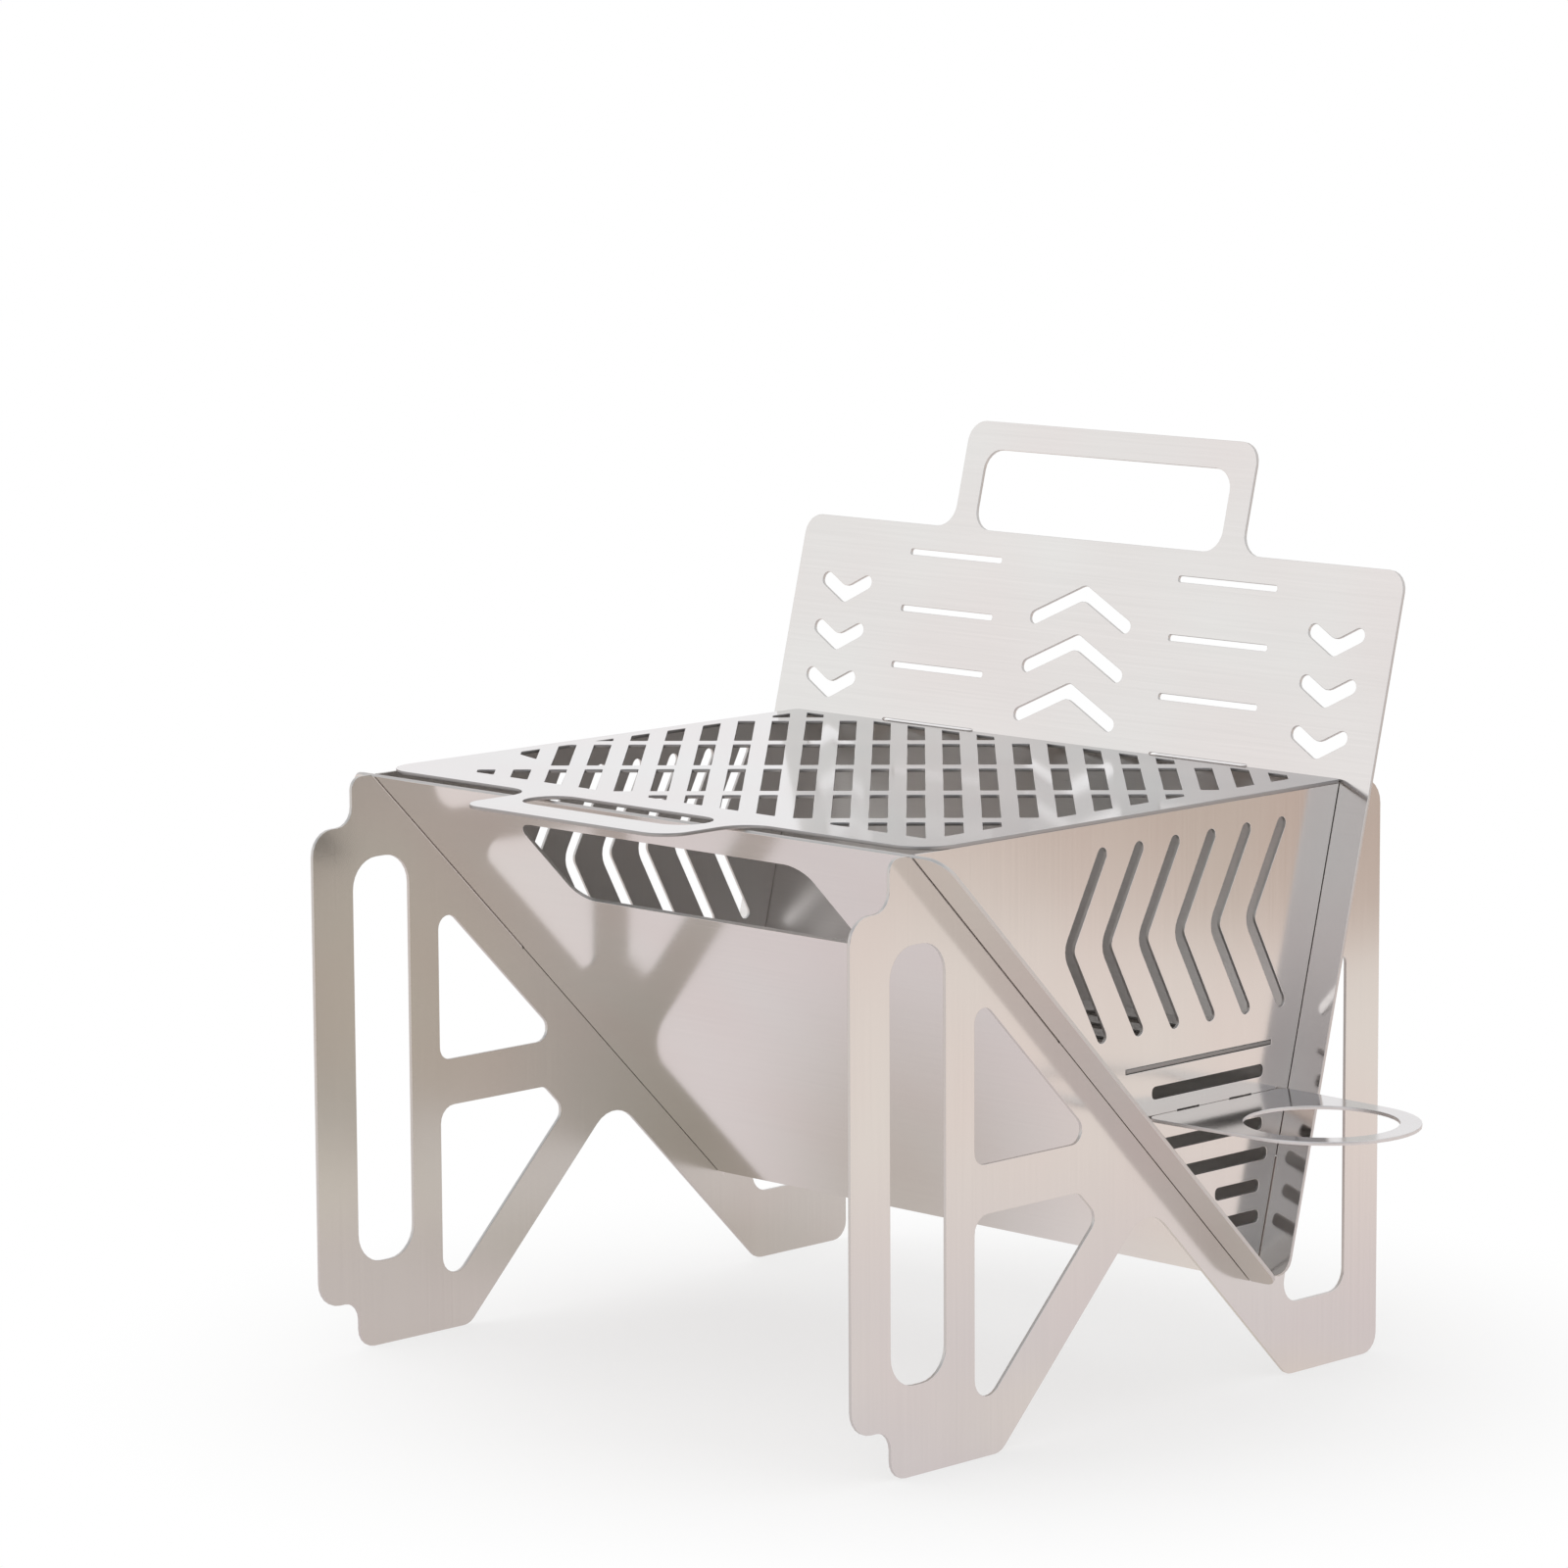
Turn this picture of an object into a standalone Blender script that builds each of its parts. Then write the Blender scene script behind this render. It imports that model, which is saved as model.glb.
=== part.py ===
# Folding wood stove, knocked down flat when packed.
# Seven laser-cut stainless blanks slot together by hand: two end plates, a
# front panel that leans back, a tall rear panel with a carry handle, a grill
# grate, a fire grate and a ring holder. Metres, +Z up, +X towards the ring
# holder, +Y from the fuel opening to the rear panel. The origin is on the
# ground, at the middle of the stove's overall box.

import math

import bmesh
import bpy
from mathutils import Matrix, Vector


# Sheet and fits
SHEET = 0.0012
CLEARANCE = 0.0003
TINY_ROUND = 0.0008
SMALLEST_ROUND = 0.00005
SAME_PLACE = 0.00002
ARC_SAG = 0.00008
ARC_SLACK = 0.01

# Steel of each piece: base colour and roughness
END_PLATE_STEEL = ((0.66, 0.62, 0.58), 0.28)
WALL_STEEL = ((0.69, 0.65, 0.61), 0.28)
GRATE_STEEL = ((0.74, 0.74, 0.75), 0.24)
FIRE_GRATE_STEEL = ((0.60, 0.58, 0.56), 0.30)
HOLDER_STEEL = ((0.78, 0.78, 0.78), 0.24)

# A blank that lies level needs no turn
LEVEL = (0.0, 0.0, 0.0)

# End plates, outline. Depths run from the near edge, heights from the ground.
PLATE_SPACING = 0.250
PLATE_HEIGHT = 0.196
NEAR_STEP_DEPTH = 0.0175
NEAR_STEP_HEIGHT = 0.0165
STEP_ROUND = 0.0065
NEAR_EDGE_ROUND = 0.0087
NEAR_FOOT_LENGTH = 0.050
NEAR_FOOT_ROUND = 0.0065
FOOT_END_ROUND = 0.0065
ARCH_SEAM_WEB = 0.0114
FAR_FOOT_ROUND = 0.0065
FAR_TOP_ROUND = 0.009
ARCH_ROUND = 0.012
LEG_ALONG = Vector((1.0, 1.0))

# End plates, large cut-outs
HAND_SLOT_INSET = 0.0175
HAND_SLOT_WIDTH = 0.025
HAND_SLOT_BOTTOM = 0.029
HAND_SLOT_TOP_WEB = 0.028
HAND_SLOT_ROUND = 0.0105
MIDDLE_WEB = 0.013
FRONT_SEAM_WEB = 0.0120
LEG_WIDTH = 0.0162
CROSSBAR_HEIGHT = 0.016
CROSSBAR_ABOVE_CORNER = 0.0093
LOWER_CORNER_WEB = 0.0288
CUTOUT_ROUND = 0.0045
LOWER_CUTOUT_ROUND = 0.006
FAR_FRAME_WIDTH = 0.017
FAR_CUTOUT_BOTTOM = 0.0243
REAR_SEAM_WEB = 0.0149
FAR_CUTOUT_ROUND = 0.007
FAR_CUTOUT_TIP_ROUND = 0.0022

# End plates, vents
BENT_VENT_STROKE = 0.0044
BENT_VENT_PITCH = 0.0175
BENT_VENT_REACH = 0.016
BENT_VENT_INNER_BEND = 0.004
BENT_VENT_OUTER_BEND = 0.0084
BENT_VENT_TOP_WEB = 0.010
BENT_VENT_ABOVE_FIRE = 0.0132
BENT_VENT_TO_REAR = 0.0117
BENT_VENT_TO_FRONT = 0.010
LEVEL_VENT_HEIGHT = 0.0042
LEVEL_VENT_ROUND = 0.0016
TOP_VENT_DROP = 0.0088
SECOND_VENT_DROP = 0.0264
LOWEST_VENT_RISE = 0.0222
# Webs beside each level vent, to the front panel and to the rear panel, from
# the top vent down.
LEVEL_VENT_WEBS = (
    (0.0195, 0.0146),
    (0.0070, 0.0104),
    (0.0065, 0.0054),
    (0.0124, 0.0067),
    (0.0058, 0.0041),
)

# Front panel: leans back. Its outer face leaves the plates' top edge at an
# inset from the near edge.
FRONT_TOP_INSET = 0.0268
FRONT_LEAN = math.radians(45.0)
FRONT_BOTTOM = 0.0495
FRONT_LAP_HEIGHT = 0.128
FRONT_WING = 0.0135
FRONT_CORNER_ROUND = 0.0075
FUEL_OPENING_WIDTH = 0.1332
FUEL_OPENING_HEIGHT = 0.0413
FUEL_OPENING_TOP_WEB = 0.0152
FUEL_OPENING_ROUND = 0.0075

# Rear panel: leans away. Its near face clears the front panel's bottom edge,
# and leaves the plates' top edge at an inset from the far edge.
WALL_GAP = 0.00195
REAR_TOP_INSET = 0.0213
REAR_LEAN = math.radians(14.4)
REAR_BOTTOM = 0.0385
REAR_LAP_HEIGHT = 0.075
REAR_WING = 0.0135
REAR_RISE = 0.0721
REAR_BOTTOM_ROUND = 0.0085
REAR_SHOULDER_ROUND = 0.007
HANDLE_WIDTH = 0.1336
HANDLE_RISE = 0.0385
HANDLE_SIDE_BAR = 0.0098
HANDLE_TOP_BAR = 0.0098
HANDLE_ROUND = 0.0075
HANDLE_FOOT_ROUND = 0.008

# Rear panel, vents
THIN_SLOT_WIDTH = 0.044
THIN_SLOT_OFFSET = 0.063
THIN_SLOT_PITCH = 0.0203
THIN_SLOT_ROWS = 3
SIDE_VENT_OFFSET = 0.1136
SIDE_VENT_STROKE = 0.0051
SIDE_VENT_HALF_WIDTH = 0.0096
SIDE_VENT_DROP = 0.0052
SIDE_VENT_PITCH = 0.0173
SIDE_VENT_FROM_TOP = 0.0281
CENTRE_VENT_STROKE = 0.0048
CENTRE_VENT_HALF_WIDTH = 0.0209
CENTRE_VENT_DROP = 0.0102
CENTRE_VENT_PITCH = 0.0171
CENTRE_VENT_FROM_TOP = 0.0182
SPLASH_VENT_INNER_BEND = 0.004
SPLASH_VENT_OUTER_BEND = 0.003
SPLASH_VENT_ROWS = 3

# Grill grate: lies on the end plates
GRATE_OVERHANG = 0.001
GRATE_NEAR_EDGE = 0.032
GRATE_CORNER_ROUND = 0.0135
PULL_WIDTH = 0.097
PULL_REACH = 0.0355
PULL_ROUND = 0.010
PULL_FOOT_ROUND = 0.012
FINGER_SLOT_WIDTH = 0.080
FINGER_SLOT_HEIGHT = 0.020
FINGER_SLOT_WEB = 0.0155
GRATE_TAB_PLAY = 0.002
GRATE_TAB_STICK_OUT = 0.006
TAB_ROUND = 0.002

# Grill grate, lattice of slots that run nearly from corner to corner
LATTICE_SIDE_BORDER = 0.0128
LATTICE_NEAR_BORDER = 0.0155
LATTICE_FAR_BORDER = 0.0097
LATTICE_TURN = math.radians(43.7)
LATTICE_SLOT_WIDTH = 0.006
LATTICE_SLOT_LENGTH = 0.0497
LATTICE_BAR_WIDTH = 0.006
LATTICE_CROSSBAR = 0.0085
LATTICE_ROW_OFFSET = 0.0161
LATTICE_SMALLEST_AREA = 0.00004

# Fire grate: level, its ends in a thin slot of each end plate
FIRE_GRATE_HEIGHT = 0.1138
FIRE_GRATE_PANEL_GAP = 0.001
FIRE_TAB_FRONT_INSET = 0.0158
FIRE_TAB_REAR_INSET = 0.0132
FIRE_CORNER_ROUND = 0.003
FIRE_SLOT_HEIGHT = 0.008
FIRE_SLOT_PITCH = 0.0165
FIRE_SLOT_COLUMNS = 3
FIRE_BORDER = 0.011
FIRE_COLUMN_WEB = 0.010

# Ring holder: hangs on the right end plate
RING_DROP = 0.0166
RING_TO_REAR = 0.0368
RING_REACH = 0.045
RING_RADIUS = 0.0322
RING_HOLE_RADIUS = 0.0252
RING_BASE_WIDTH = 0.068
RING_BASE_ROUND = 0.004
RING_TAB_WIDTH = 0.0102
RING_TAB_SPACING = 0.0258
RING_TAB_STICK_OUT = 0.005


class Plane:
    """The lean of a wall panel, seen from the side.

    A point of the wall has a run, its distance up the slope from the ground
    line, and a depth into the sheet from the face that the foot names.
    """

    def __init__(self, foot, along, inward):
        self.foot = foot
        self.along = Vector(along)
        self.inward = Vector(inward)

    def point(self, run, depth=0.0):
        """Depth and height of a place on the wall."""
        return Vector((self.foot, 0.0)) + self.along * run + self.inward * depth

    def run_at(self, height, depth=0.0):
        """Distance up the slope at which the wall reaches a height."""
        return (height - self.inward.y * depth) / self.along.y

    def at_height(self, height, depth=0.0):
        """Where the wall, or a line parallel to it, crosses a height."""
        return self.point(self.run_at(height, depth), depth)


def crossing(place, along, other, other_along):
    """Where two straight lines cross."""
    run = (other - place).cross(other_along) / along.cross(other_along)
    return place + along * run


FRONT_FOOT = FRONT_TOP_INSET + PLATE_HEIGHT / math.tan(FRONT_LEAN)
FRONT = Plane(
    FRONT_FOOT,
    (-math.cos(FRONT_LEAN), math.sin(FRONT_LEAN)),
    (math.sin(FRONT_LEAN), math.cos(FRONT_LEAN)),
)
FRONT_HEEL = FRONT.point(FRONT_BOTTOM, SHEET)
REAR_FOOT = FRONT_HEEL.x + WALL_GAP - FRONT_HEEL.y * math.tan(REAR_LEAN)
REAR = Plane(
    REAR_FOOT,
    (math.sin(REAR_LEAN), math.cos(REAR_LEAN)),
    (math.cos(REAR_LEAN), -math.sin(REAR_LEAN)),
)

# Where the near leg meets the line of the lower cut-out, along the seam
LEG_REACH = LEG_WIDTH * LEG_ALONG.length / LEG_ALONG.y
LEG_FOOT = Vector((NEAR_STEP_DEPTH + NEAR_FOOT_LENGTH - LEG_REACH, 0.0))
LEG_CORNER = crossing(LEG_FOOT, LEG_ALONG, FRONT.point(0.0, -LOWER_CORNER_WEB), FRONT.along)
CROSSBAR_BOTTOM = LEG_CORNER.y + CROSSBAR_ABOVE_CORNER
CROSSBAR_TOP = CROSSBAR_BOTTOM + CROSSBAR_HEIGHT

# Places that several pieces share
PLATE_DEPTH = REAR.at_height(PLATE_HEIGHT).x + REAR_TOP_INSET
LAP_WIDTH = SHEET + 2.0 * CLEARANCE
PLATE_X = PLATE_SPACING / 2.0
PLATE_OUTER_FACE = PLATE_X + SHEET / 2.0
FRONT_LAP = FRONT.run_at(FRONT_LAP_HEIGHT)
FRONT_TOP = FRONT.run_at(PLATE_HEIGHT, SHEET)
REAR_LAP = REAR.run_at(REAR_LAP_HEIGHT)
REAR_SHOULDER = REAR.run_at(PLATE_HEIGHT) + REAR_RISE
REAR_TOP = REAR_SHOULDER + HANDLE_RISE
GRATE_BOTTOM = PLATE_HEIGHT + CLEARANCE
GRATE_TOP = GRATE_BOTTOM + SHEET
GRATE_HALF_WIDTH = PLATE_OUTER_FACE + GRATE_OVERHANG
GRATE_FAR_EDGE = REAR.at_height(GRATE_BOTTOM).x - CLEARANCE
GRATE_PULL_EDGE = GRATE_NEAR_EDGE - PULL_REACH
GRATE_TAB_WIDTH = THIN_SLOT_WIDTH - 2.0 * GRATE_TAB_PLAY
TAB_SLOT_BOTTOM = REAR.run_at(GRATE_BOTTOM) - CLEARANCE
TAB_SLOT_TOP = REAR.run_at(GRATE_TOP, SHEET) + CLEARANCE
THIN_SLOT_HEIGHT = TAB_SLOT_TOP - TAB_SLOT_BOTTOM
RING_HEIGHT = FIRE_GRATE_HEIGHT - RING_DROP
RING_CENTRE_DEPTH = REAR.at_height(RING_HEIGHT).x - RING_TO_REAR
RING_BASE_X = PLATE_OUTER_FACE + CLEARANCE

# Overall box, whose middle is the origin
LEFT_MOST = -PLATE_X - max(FRONT_WING, REAR_WING)
RIGHT_MOST = RING_BASE_X + RING_REACH + RING_RADIUS
NEAR_MOST = min(GRATE_PULL_EDGE, 0.0, FRONT.point(FRONT_TOP).x)
FAR_MOST = max(REAR.point(REAR_TOP, SHEET).x, PLATE_DEPTH)
ORIGIN = Vector(((LEFT_MOST + RIGHT_MOST) / 2.0, (NEAR_MOST + FAR_MOST) / 2.0, 0.0))


# Outlines

def arc_pieces(radius, sweep):
    """How many straight pieces keep an arc within the allowed sag."""
    step = 2.0 * math.acos(1.0 - ARC_SAG / radius)
    return max(1, math.ceil(sweep / step - ARC_SLACK))


def rounded(corners):
    """Turn corners, each (x, y, radius), into an outline with round corners."""
    outline = []
    count = len(corners)
    for index, (x, y, radius) in enumerate(corners):
        corner = Vector((x, y))
        to_last = Vector(corners[index - 1][:2]) - corner
        to_next = Vector(corners[(index + 1) % count][:2]) - corner
        half_angle = to_last.angle(to_next) / 2.0
        reach = radius / math.tan(half_angle)
        reach = min(reach, 0.5 * to_last.length, 0.5 * to_next.length)
        radius = reach * math.tan(half_angle)
        if radius < SMALLEST_ROUND:
            outline.append(corner)
            continue
        bisector = (to_last.normalized() + to_next.normalized()).normalized()
        centre = corner + bisector * (radius / math.sin(half_angle))
        start = corner + to_last.normalized() * reach - centre
        sweep = start.angle_signed(corner + to_next.normalized() * reach - centre)
        pieces = arc_pieces(radius, abs(sweep))
        for piece in range(pieces + 1):
            turn = Matrix.Rotation(-sweep * piece / pieces, 2)
            outline.append(centre + turn @ start)
    return without_doubles(outline)


def without_doubles(outline):
    """Drop points that lie on the one before them."""
    kept = []
    for index, point in enumerate(outline):
        if (point - outline[index - 1]).length > SAME_PLACE:
            kept.append(point)
    return kept


def box(left, bottom, right, top, radius):
    """A rectangle with round corners."""
    return rounded([
        (left, bottom, radius),
        (right, bottom, radius),
        (right, top, radius),
        (left, top, radius),
    ])


def bent_stroke(start, elbow, end, stroke, inner_bend, outer_bend):
    """A slot of even width that turns once. Its round ends are centred on
    the start and the end."""
    half = stroke / 2.0
    first = (elbow - start).normalized()
    second = (end - elbow).normalized()
    start = start - first * half
    end = end + second * half
    first_side = Vector((-first.y, first.x)) * half
    second_side = Vector((-second.y, second.x)) * half
    mitre = (first_side + second_side).normalized()
    mitre *= half / mitre.dot(first_side / half)
    left_turn = first.cross(second) > 0.0
    left_bend = inner_bend if left_turn else outer_bend
    right_bend = outer_bend if left_turn else inner_bend
    return rounded([
        (*(start - first_side), half),
        (*(elbow - mitre), right_bend),
        (*(end - second_side), half),
        (*(end + second_side), half),
        (*(elbow + mitre), left_bend),
        (*(start + first_side), half),
    ])


def clipped(outline, left, bottom, right, top):
    """The part of a convex outline that lies inside a rectangle."""
    for axis, limit, keep in ((0, left, 1.0), (0, right, -1.0), (1, bottom, 1.0), (1, top, -1.0)):
        inside = []
        for index, point in enumerate(outline):
            last = outline[index - 1]
            last_over = (last[axis] - limit) * keep
            over = (point[axis] - limit) * keep
            if (last_over > 0.0) != (over > 0.0):
                inside.append(last.lerp(point, last_over / (last_over - over)))
            if over > 0.0:
                inside.append(point)
        outline = inside
    return outline


def area(outline):
    """Area that an outline encloses."""
    total = 0.0
    for index, point in enumerate(outline):
        total += outline[index - 1].cross(point)
    return abs(total) / 2.0


def shifted(outline, x, y):
    """A copy of an outline, moved."""
    return [point + Vector((x, y)) for point in outline]


# Sheets and materials

def steel(name, kind):
    """Brushed stainless steel of one kind."""
    shade, roughness = kind
    material = bpy.data.materials.new(name + "_steel")
    material.use_nodes = True
    shader = material.node_tree.nodes["Principled BSDF"]
    shader.inputs["Base Color"].default_value = (*shade, 1.0)
    shader.inputs["Metallic"].default_value = 1.0
    shader.inputs["Roughness"].default_value = roughness
    return material


def sheet(name, outline, holes, back, location, turn, material):
    """Cut a blank from sheet: fill the outline round its holes and give it
    the sheet's thickness, from the depth back in its own frame."""
    mesh = bmesh.new()
    for loop in [outline, *holes]:
        points = [mesh.verts.new((point.x, point.y, back)) for point in loop]
        for index, point in enumerate(points):
            mesh.edges.new((points[index - 1], point))
    filled = bmesh.ops.triangle_fill(mesh, edges=mesh.edges[:], use_beauty=True, normal=(0.0, 0.0, 1.0))
    faces = [item for item in filled["geom"] if isinstance(item, bmesh.types.BMFace)]
    grown = bmesh.ops.extrude_face_region(mesh, geom=faces)
    raised = [item for item in grown["geom"] if isinstance(item, bmesh.types.BMVert)]
    bmesh.ops.translate(mesh, vec=(0.0, 0.0, SHEET), verts=raised)
    bmesh.ops.recalc_face_normals(mesh, faces=mesh.faces[:])
    data = bpy.data.meshes.new(name)
    mesh.to_mesh(data)
    mesh.free()
    data.materials.append(material)
    blank = bpy.data.objects.new(name, data)
    blank.location = Vector(location) - ORIGIN
    blank.rotation_euler = turn
    bpy.context.collection.objects.link(blank)
    return blank


# End plates

def lap_slot(plane, lap):
    """The open slot that takes a wall panel, down from the plate's top edge.
    Its corners run from the far side of its mouth to the near side."""
    near = -CLEARANCE
    far = SHEET + CLEARANCE
    return [
        (*plane.at_height(PLATE_HEIGHT, far), 0.0),
        (*plane.point(lap, far), 0.0),
        (*plane.point(lap, near), 0.0),
        (*plane.at_height(PLATE_HEIGHT, near), 0.0),
    ]


def plate_outline():
    """Edge of an end plate: two feet with an arch between them, the stepped
    near edge and the two lap slots."""
    near_foot = NEAR_STEP_DEPTH
    arch_near = Vector((near_foot + NEAR_FOOT_LENGTH, 0.0))
    arch_far = FRONT.at_height(0.0, -ARCH_SEAM_WEB)
    arch_top = crossing(arch_near, LEG_ALONG, arch_far, FRONT.along)
    corners = [
        (near_foot, 0.0, NEAR_FOOT_ROUND),
        (*arch_near, FOOT_END_ROUND),
        (*arch_top, ARCH_ROUND),
        (*arch_far, FOOT_END_ROUND),
        (PLATE_DEPTH, 0.0, FAR_FOOT_ROUND),
        (PLATE_DEPTH, PLATE_HEIGHT, FAR_TOP_ROUND),
    ]
    corners += lap_slot(REAR, REAR_LAP)
    corners += lap_slot(FRONT, FRONT_LAP)
    corners += [
        (near_foot, PLATE_HEIGHT, STEP_ROUND),
        (near_foot, PLATE_HEIGHT - NEAR_STEP_HEIGHT, STEP_ROUND),
        (0.0, PLATE_HEIGHT - NEAR_STEP_HEIGHT, NEAR_EDGE_ROUND),
        (0.0, NEAR_STEP_HEIGHT, NEAR_EDGE_ROUND),
        (near_foot, NEAR_STEP_HEIGHT, STEP_ROUND),
    ]
    return rounded(corners)


def hand_slot():
    """The tall slot beside the near edge."""
    return box(
        HAND_SLOT_INSET,
        HAND_SLOT_BOTTOM,
        HAND_SLOT_INSET + HAND_SLOT_WIDTH,
        PLATE_HEIGHT - HAND_SLOT_TOP_WEB,
        HAND_SLOT_ROUND,
    )


def upper_cutout():
    """The triangle above the crossbar, its long side along the front seam."""
    left = HAND_SLOT_INSET + HAND_SLOT_WIDTH + MIDDLE_WEB
    right = FRONT.at_height(CROSSBAR_TOP, -FRONT_SEAM_WEB).x
    top_run = (left - FRONT.point(0.0, -FRONT_SEAM_WEB).x) / FRONT.along.x
    top = FRONT.point(top_run, -FRONT_SEAM_WEB).y
    return rounded([
        (left, CROSSBAR_TOP, CUTOUT_ROUND),
        (right, CROSSBAR_TOP, CUTOUT_ROUND),
        (left, top, CUTOUT_ROUND),
    ])


def lower_cutout():
    """The opening below the crossbar, its long side along the near leg."""
    left = HAND_SLOT_INSET + HAND_SLOT_WIDTH + MIDDLE_WEB
    corner_low = crossing(LEG_FOOT, LEG_ALONG, Vector((left, 0.0)), Vector((0.0, 1.0)))
    return rounded([
        (*corner_low, LOWER_CUTOUT_ROUND),
        (*LEG_CORNER, CUTOUT_ROUND),
        (*FRONT.at_height(CROSSBAR_BOTTOM, -LOWER_CORNER_WEB), CUTOUT_ROUND),
        (left, CROSSBAR_BOTTOM, LOWER_CUTOUT_ROUND),
    ])


def far_cutout():
    """The tall triangle behind the rear seam."""
    right = PLATE_DEPTH - FAR_FRAME_WIDTH
    seam = REAR_SEAM_WEB
    tip_run = (right - REAR.point(0.0, seam).x) / REAR.along.x
    return rounded([
        (*REAR.at_height(FAR_CUTOUT_BOTTOM, seam), FAR_CUTOUT_ROUND),
        (right, FAR_CUTOUT_BOTTOM, FAR_CUTOUT_ROUND),
        (*REAR.point(tip_run, seam), FAR_CUTOUT_TIP_ROUND),
    ])


def bent_vents():
    """The row of bent vents above the fire grate, as many as fit."""
    bottom = FIRE_GRATE_HEIGHT + BENT_VENT_ABOVE_FIRE
    top = PLATE_HEIGHT - BENT_VENT_TOP_WEB
    middle = (bottom + top) / 2.0
    last = REAR.at_height(bottom).x - BENT_VENT_TO_REAR
    first_free = FRONT.at_height(bottom, SHEET).x + BENT_VENT_TO_FRONT
    count = 1 + int((last - first_free) / BENT_VENT_PITCH)
    vent = bent_stroke(
        Vector((last, top)),
        Vector((last - BENT_VENT_REACH, middle)),
        Vector((last, bottom)),
        BENT_VENT_STROKE,
        BENT_VENT_INNER_BEND,
        BENT_VENT_OUTER_BEND,
    )
    return [shifted(vent, -BENT_VENT_PITCH * index, 0.0) for index in range(count)]


def level_vents():
    """The level vents that feed air under the fire grate."""
    vents = []
    walls_meet = crossing(FRONT.point(0.0, SHEET), FRONT.along, REAR.point(0.0), REAR.along)
    lowest = walls_meet.y + LOWEST_VENT_RISE
    second = FIRE_GRATE_HEIGHT - SECOND_VENT_DROP
    pitch = (second - lowest) / (len(LEVEL_VENT_WEBS) - 2)
    heights = [FIRE_GRATE_HEIGHT - TOP_VENT_DROP]
    heights += [second - pitch * row for row in range(len(LEVEL_VENT_WEBS) - 1)]
    for height, (front_web, rear_web) in zip(heights, LEVEL_VENT_WEBS):
        vents.append(box(
            FRONT.at_height(height, SHEET).x + front_web,
            height - LEVEL_VENT_HEIGHT / 2.0,
            REAR.at_height(height).x - rear_web,
            height + LEVEL_VENT_HEIGHT / 2.0,
            LEVEL_VENT_ROUND,
        ))
    return vents


def fire_tab_span():
    """Near and far ends of the fire grate's end tabs."""
    near = FRONT.at_height(FIRE_GRATE_HEIGHT, SHEET).x + FIRE_TAB_FRONT_INSET
    far = REAR.at_height(FIRE_GRATE_HEIGHT).x - FIRE_TAB_REAR_INSET
    return near, far


def tab_slot(near, far, height):
    """A thin level slot that takes a tab of one sheet's thickness."""
    return box(
        near - CLEARANCE,
        height - LAP_WIDTH / 2.0,
        far + CLEARANCE,
        height + LAP_WIDTH / 2.0,
        0.0,
    )


def ring_tab_spans():
    """Near and far edges of the ring holder's two tabs."""
    spans = []
    for side in (-0.5, 0.5):
        middle = RING_CENTRE_DEPTH + side * RING_TAB_SPACING
        spans.append((middle - RING_TAB_WIDTH / 2.0, middle + RING_TAB_WIDTH / 2.0))
    return spans


def end_plate(name, x):
    """One of the two alike end plates."""
    holes = [hand_slot(), upper_cutout(), lower_cutout(), far_cutout()]
    holes += bent_vents()
    holes += level_vents()
    holes.append(tab_slot(*fire_tab_span(), FIRE_GRATE_HEIGHT))
    for near, far in ring_tab_spans():
        holes.append(tab_slot(near, far, RING_HEIGHT))
    turn = (math.radians(90.0), 0.0, math.radians(90.0))
    material = steel(name, END_PLATE_STEEL)
    return sheet(name, plate_outline(), holes, -SHEET / 2.0, (x, 0.0, 0.0), turn, material)


# Wall panels

def lap_slit(x, bottom, lap):
    """The slit that straddles an end plate, up from a panel's bottom edge."""
    half = LAP_WIDTH / 2.0
    return [
        (x - half, bottom, 0.0),
        (x - half, lap + CLEARANCE, 0.0),
        (x + half, lap + CLEARANCE, 0.0),
        (x + half, bottom, 0.0),
    ]


def front_panel():
    """The leaning front wall with its fuel opening."""
    half = PLATE_X + FRONT_WING
    corners = [(-half, FRONT_BOTTOM, FRONT_CORNER_ROUND)]
    corners += lap_slit(-PLATE_X, FRONT_BOTTOM, FRONT_LAP)
    corners += lap_slit(PLATE_X, FRONT_BOTTOM, FRONT_LAP)
    corners += [
        (half, FRONT_BOTTOM, FRONT_CORNER_ROUND),
        (half, FRONT_TOP, FRONT_CORNER_ROUND),
        (-half, FRONT_TOP, FRONT_CORNER_ROUND),
    ]
    opening_top = FRONT_TOP - FUEL_OPENING_TOP_WEB
    opening = box(
        -FUEL_OPENING_WIDTH / 2.0,
        opening_top - FUEL_OPENING_HEIGHT,
        FUEL_OPENING_WIDTH / 2.0,
        opening_top,
        FUEL_OPENING_ROUND,
    )
    turn = (math.radians(180.0) - FRONT_LEAN, 0.0, 0.0)
    material = steel("front_panel", WALL_STEEL)
    place = (0.0, FRONT_FOOT, 0.0)
    return sheet("front_panel", rounded(corners), [opening], -SHEET, place, turn, material)


def rear_outline():
    """Edge of the rear panel: a wide wall with the handle on its shoulders."""
    half = PLATE_X + REAR_WING
    handle = HANDLE_WIDTH / 2.0
    corners = [(-half, REAR_BOTTOM, REAR_BOTTOM_ROUND)]
    corners += lap_slit(-PLATE_X, REAR_BOTTOM, REAR_LAP)
    corners += lap_slit(PLATE_X, REAR_BOTTOM, REAR_LAP)
    corners += [
        (half, REAR_BOTTOM, REAR_BOTTOM_ROUND),
        (half, REAR_SHOULDER, REAR_SHOULDER_ROUND),
        (handle, REAR_SHOULDER, HANDLE_FOOT_ROUND),
        (handle, REAR_TOP, HANDLE_ROUND),
        (-handle, REAR_TOP, HANDLE_ROUND),
        (-handle, REAR_SHOULDER, HANDLE_FOOT_ROUND),
        (-half, REAR_SHOULDER, REAR_SHOULDER_ROUND),
    ]
    return rounded(corners)


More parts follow.
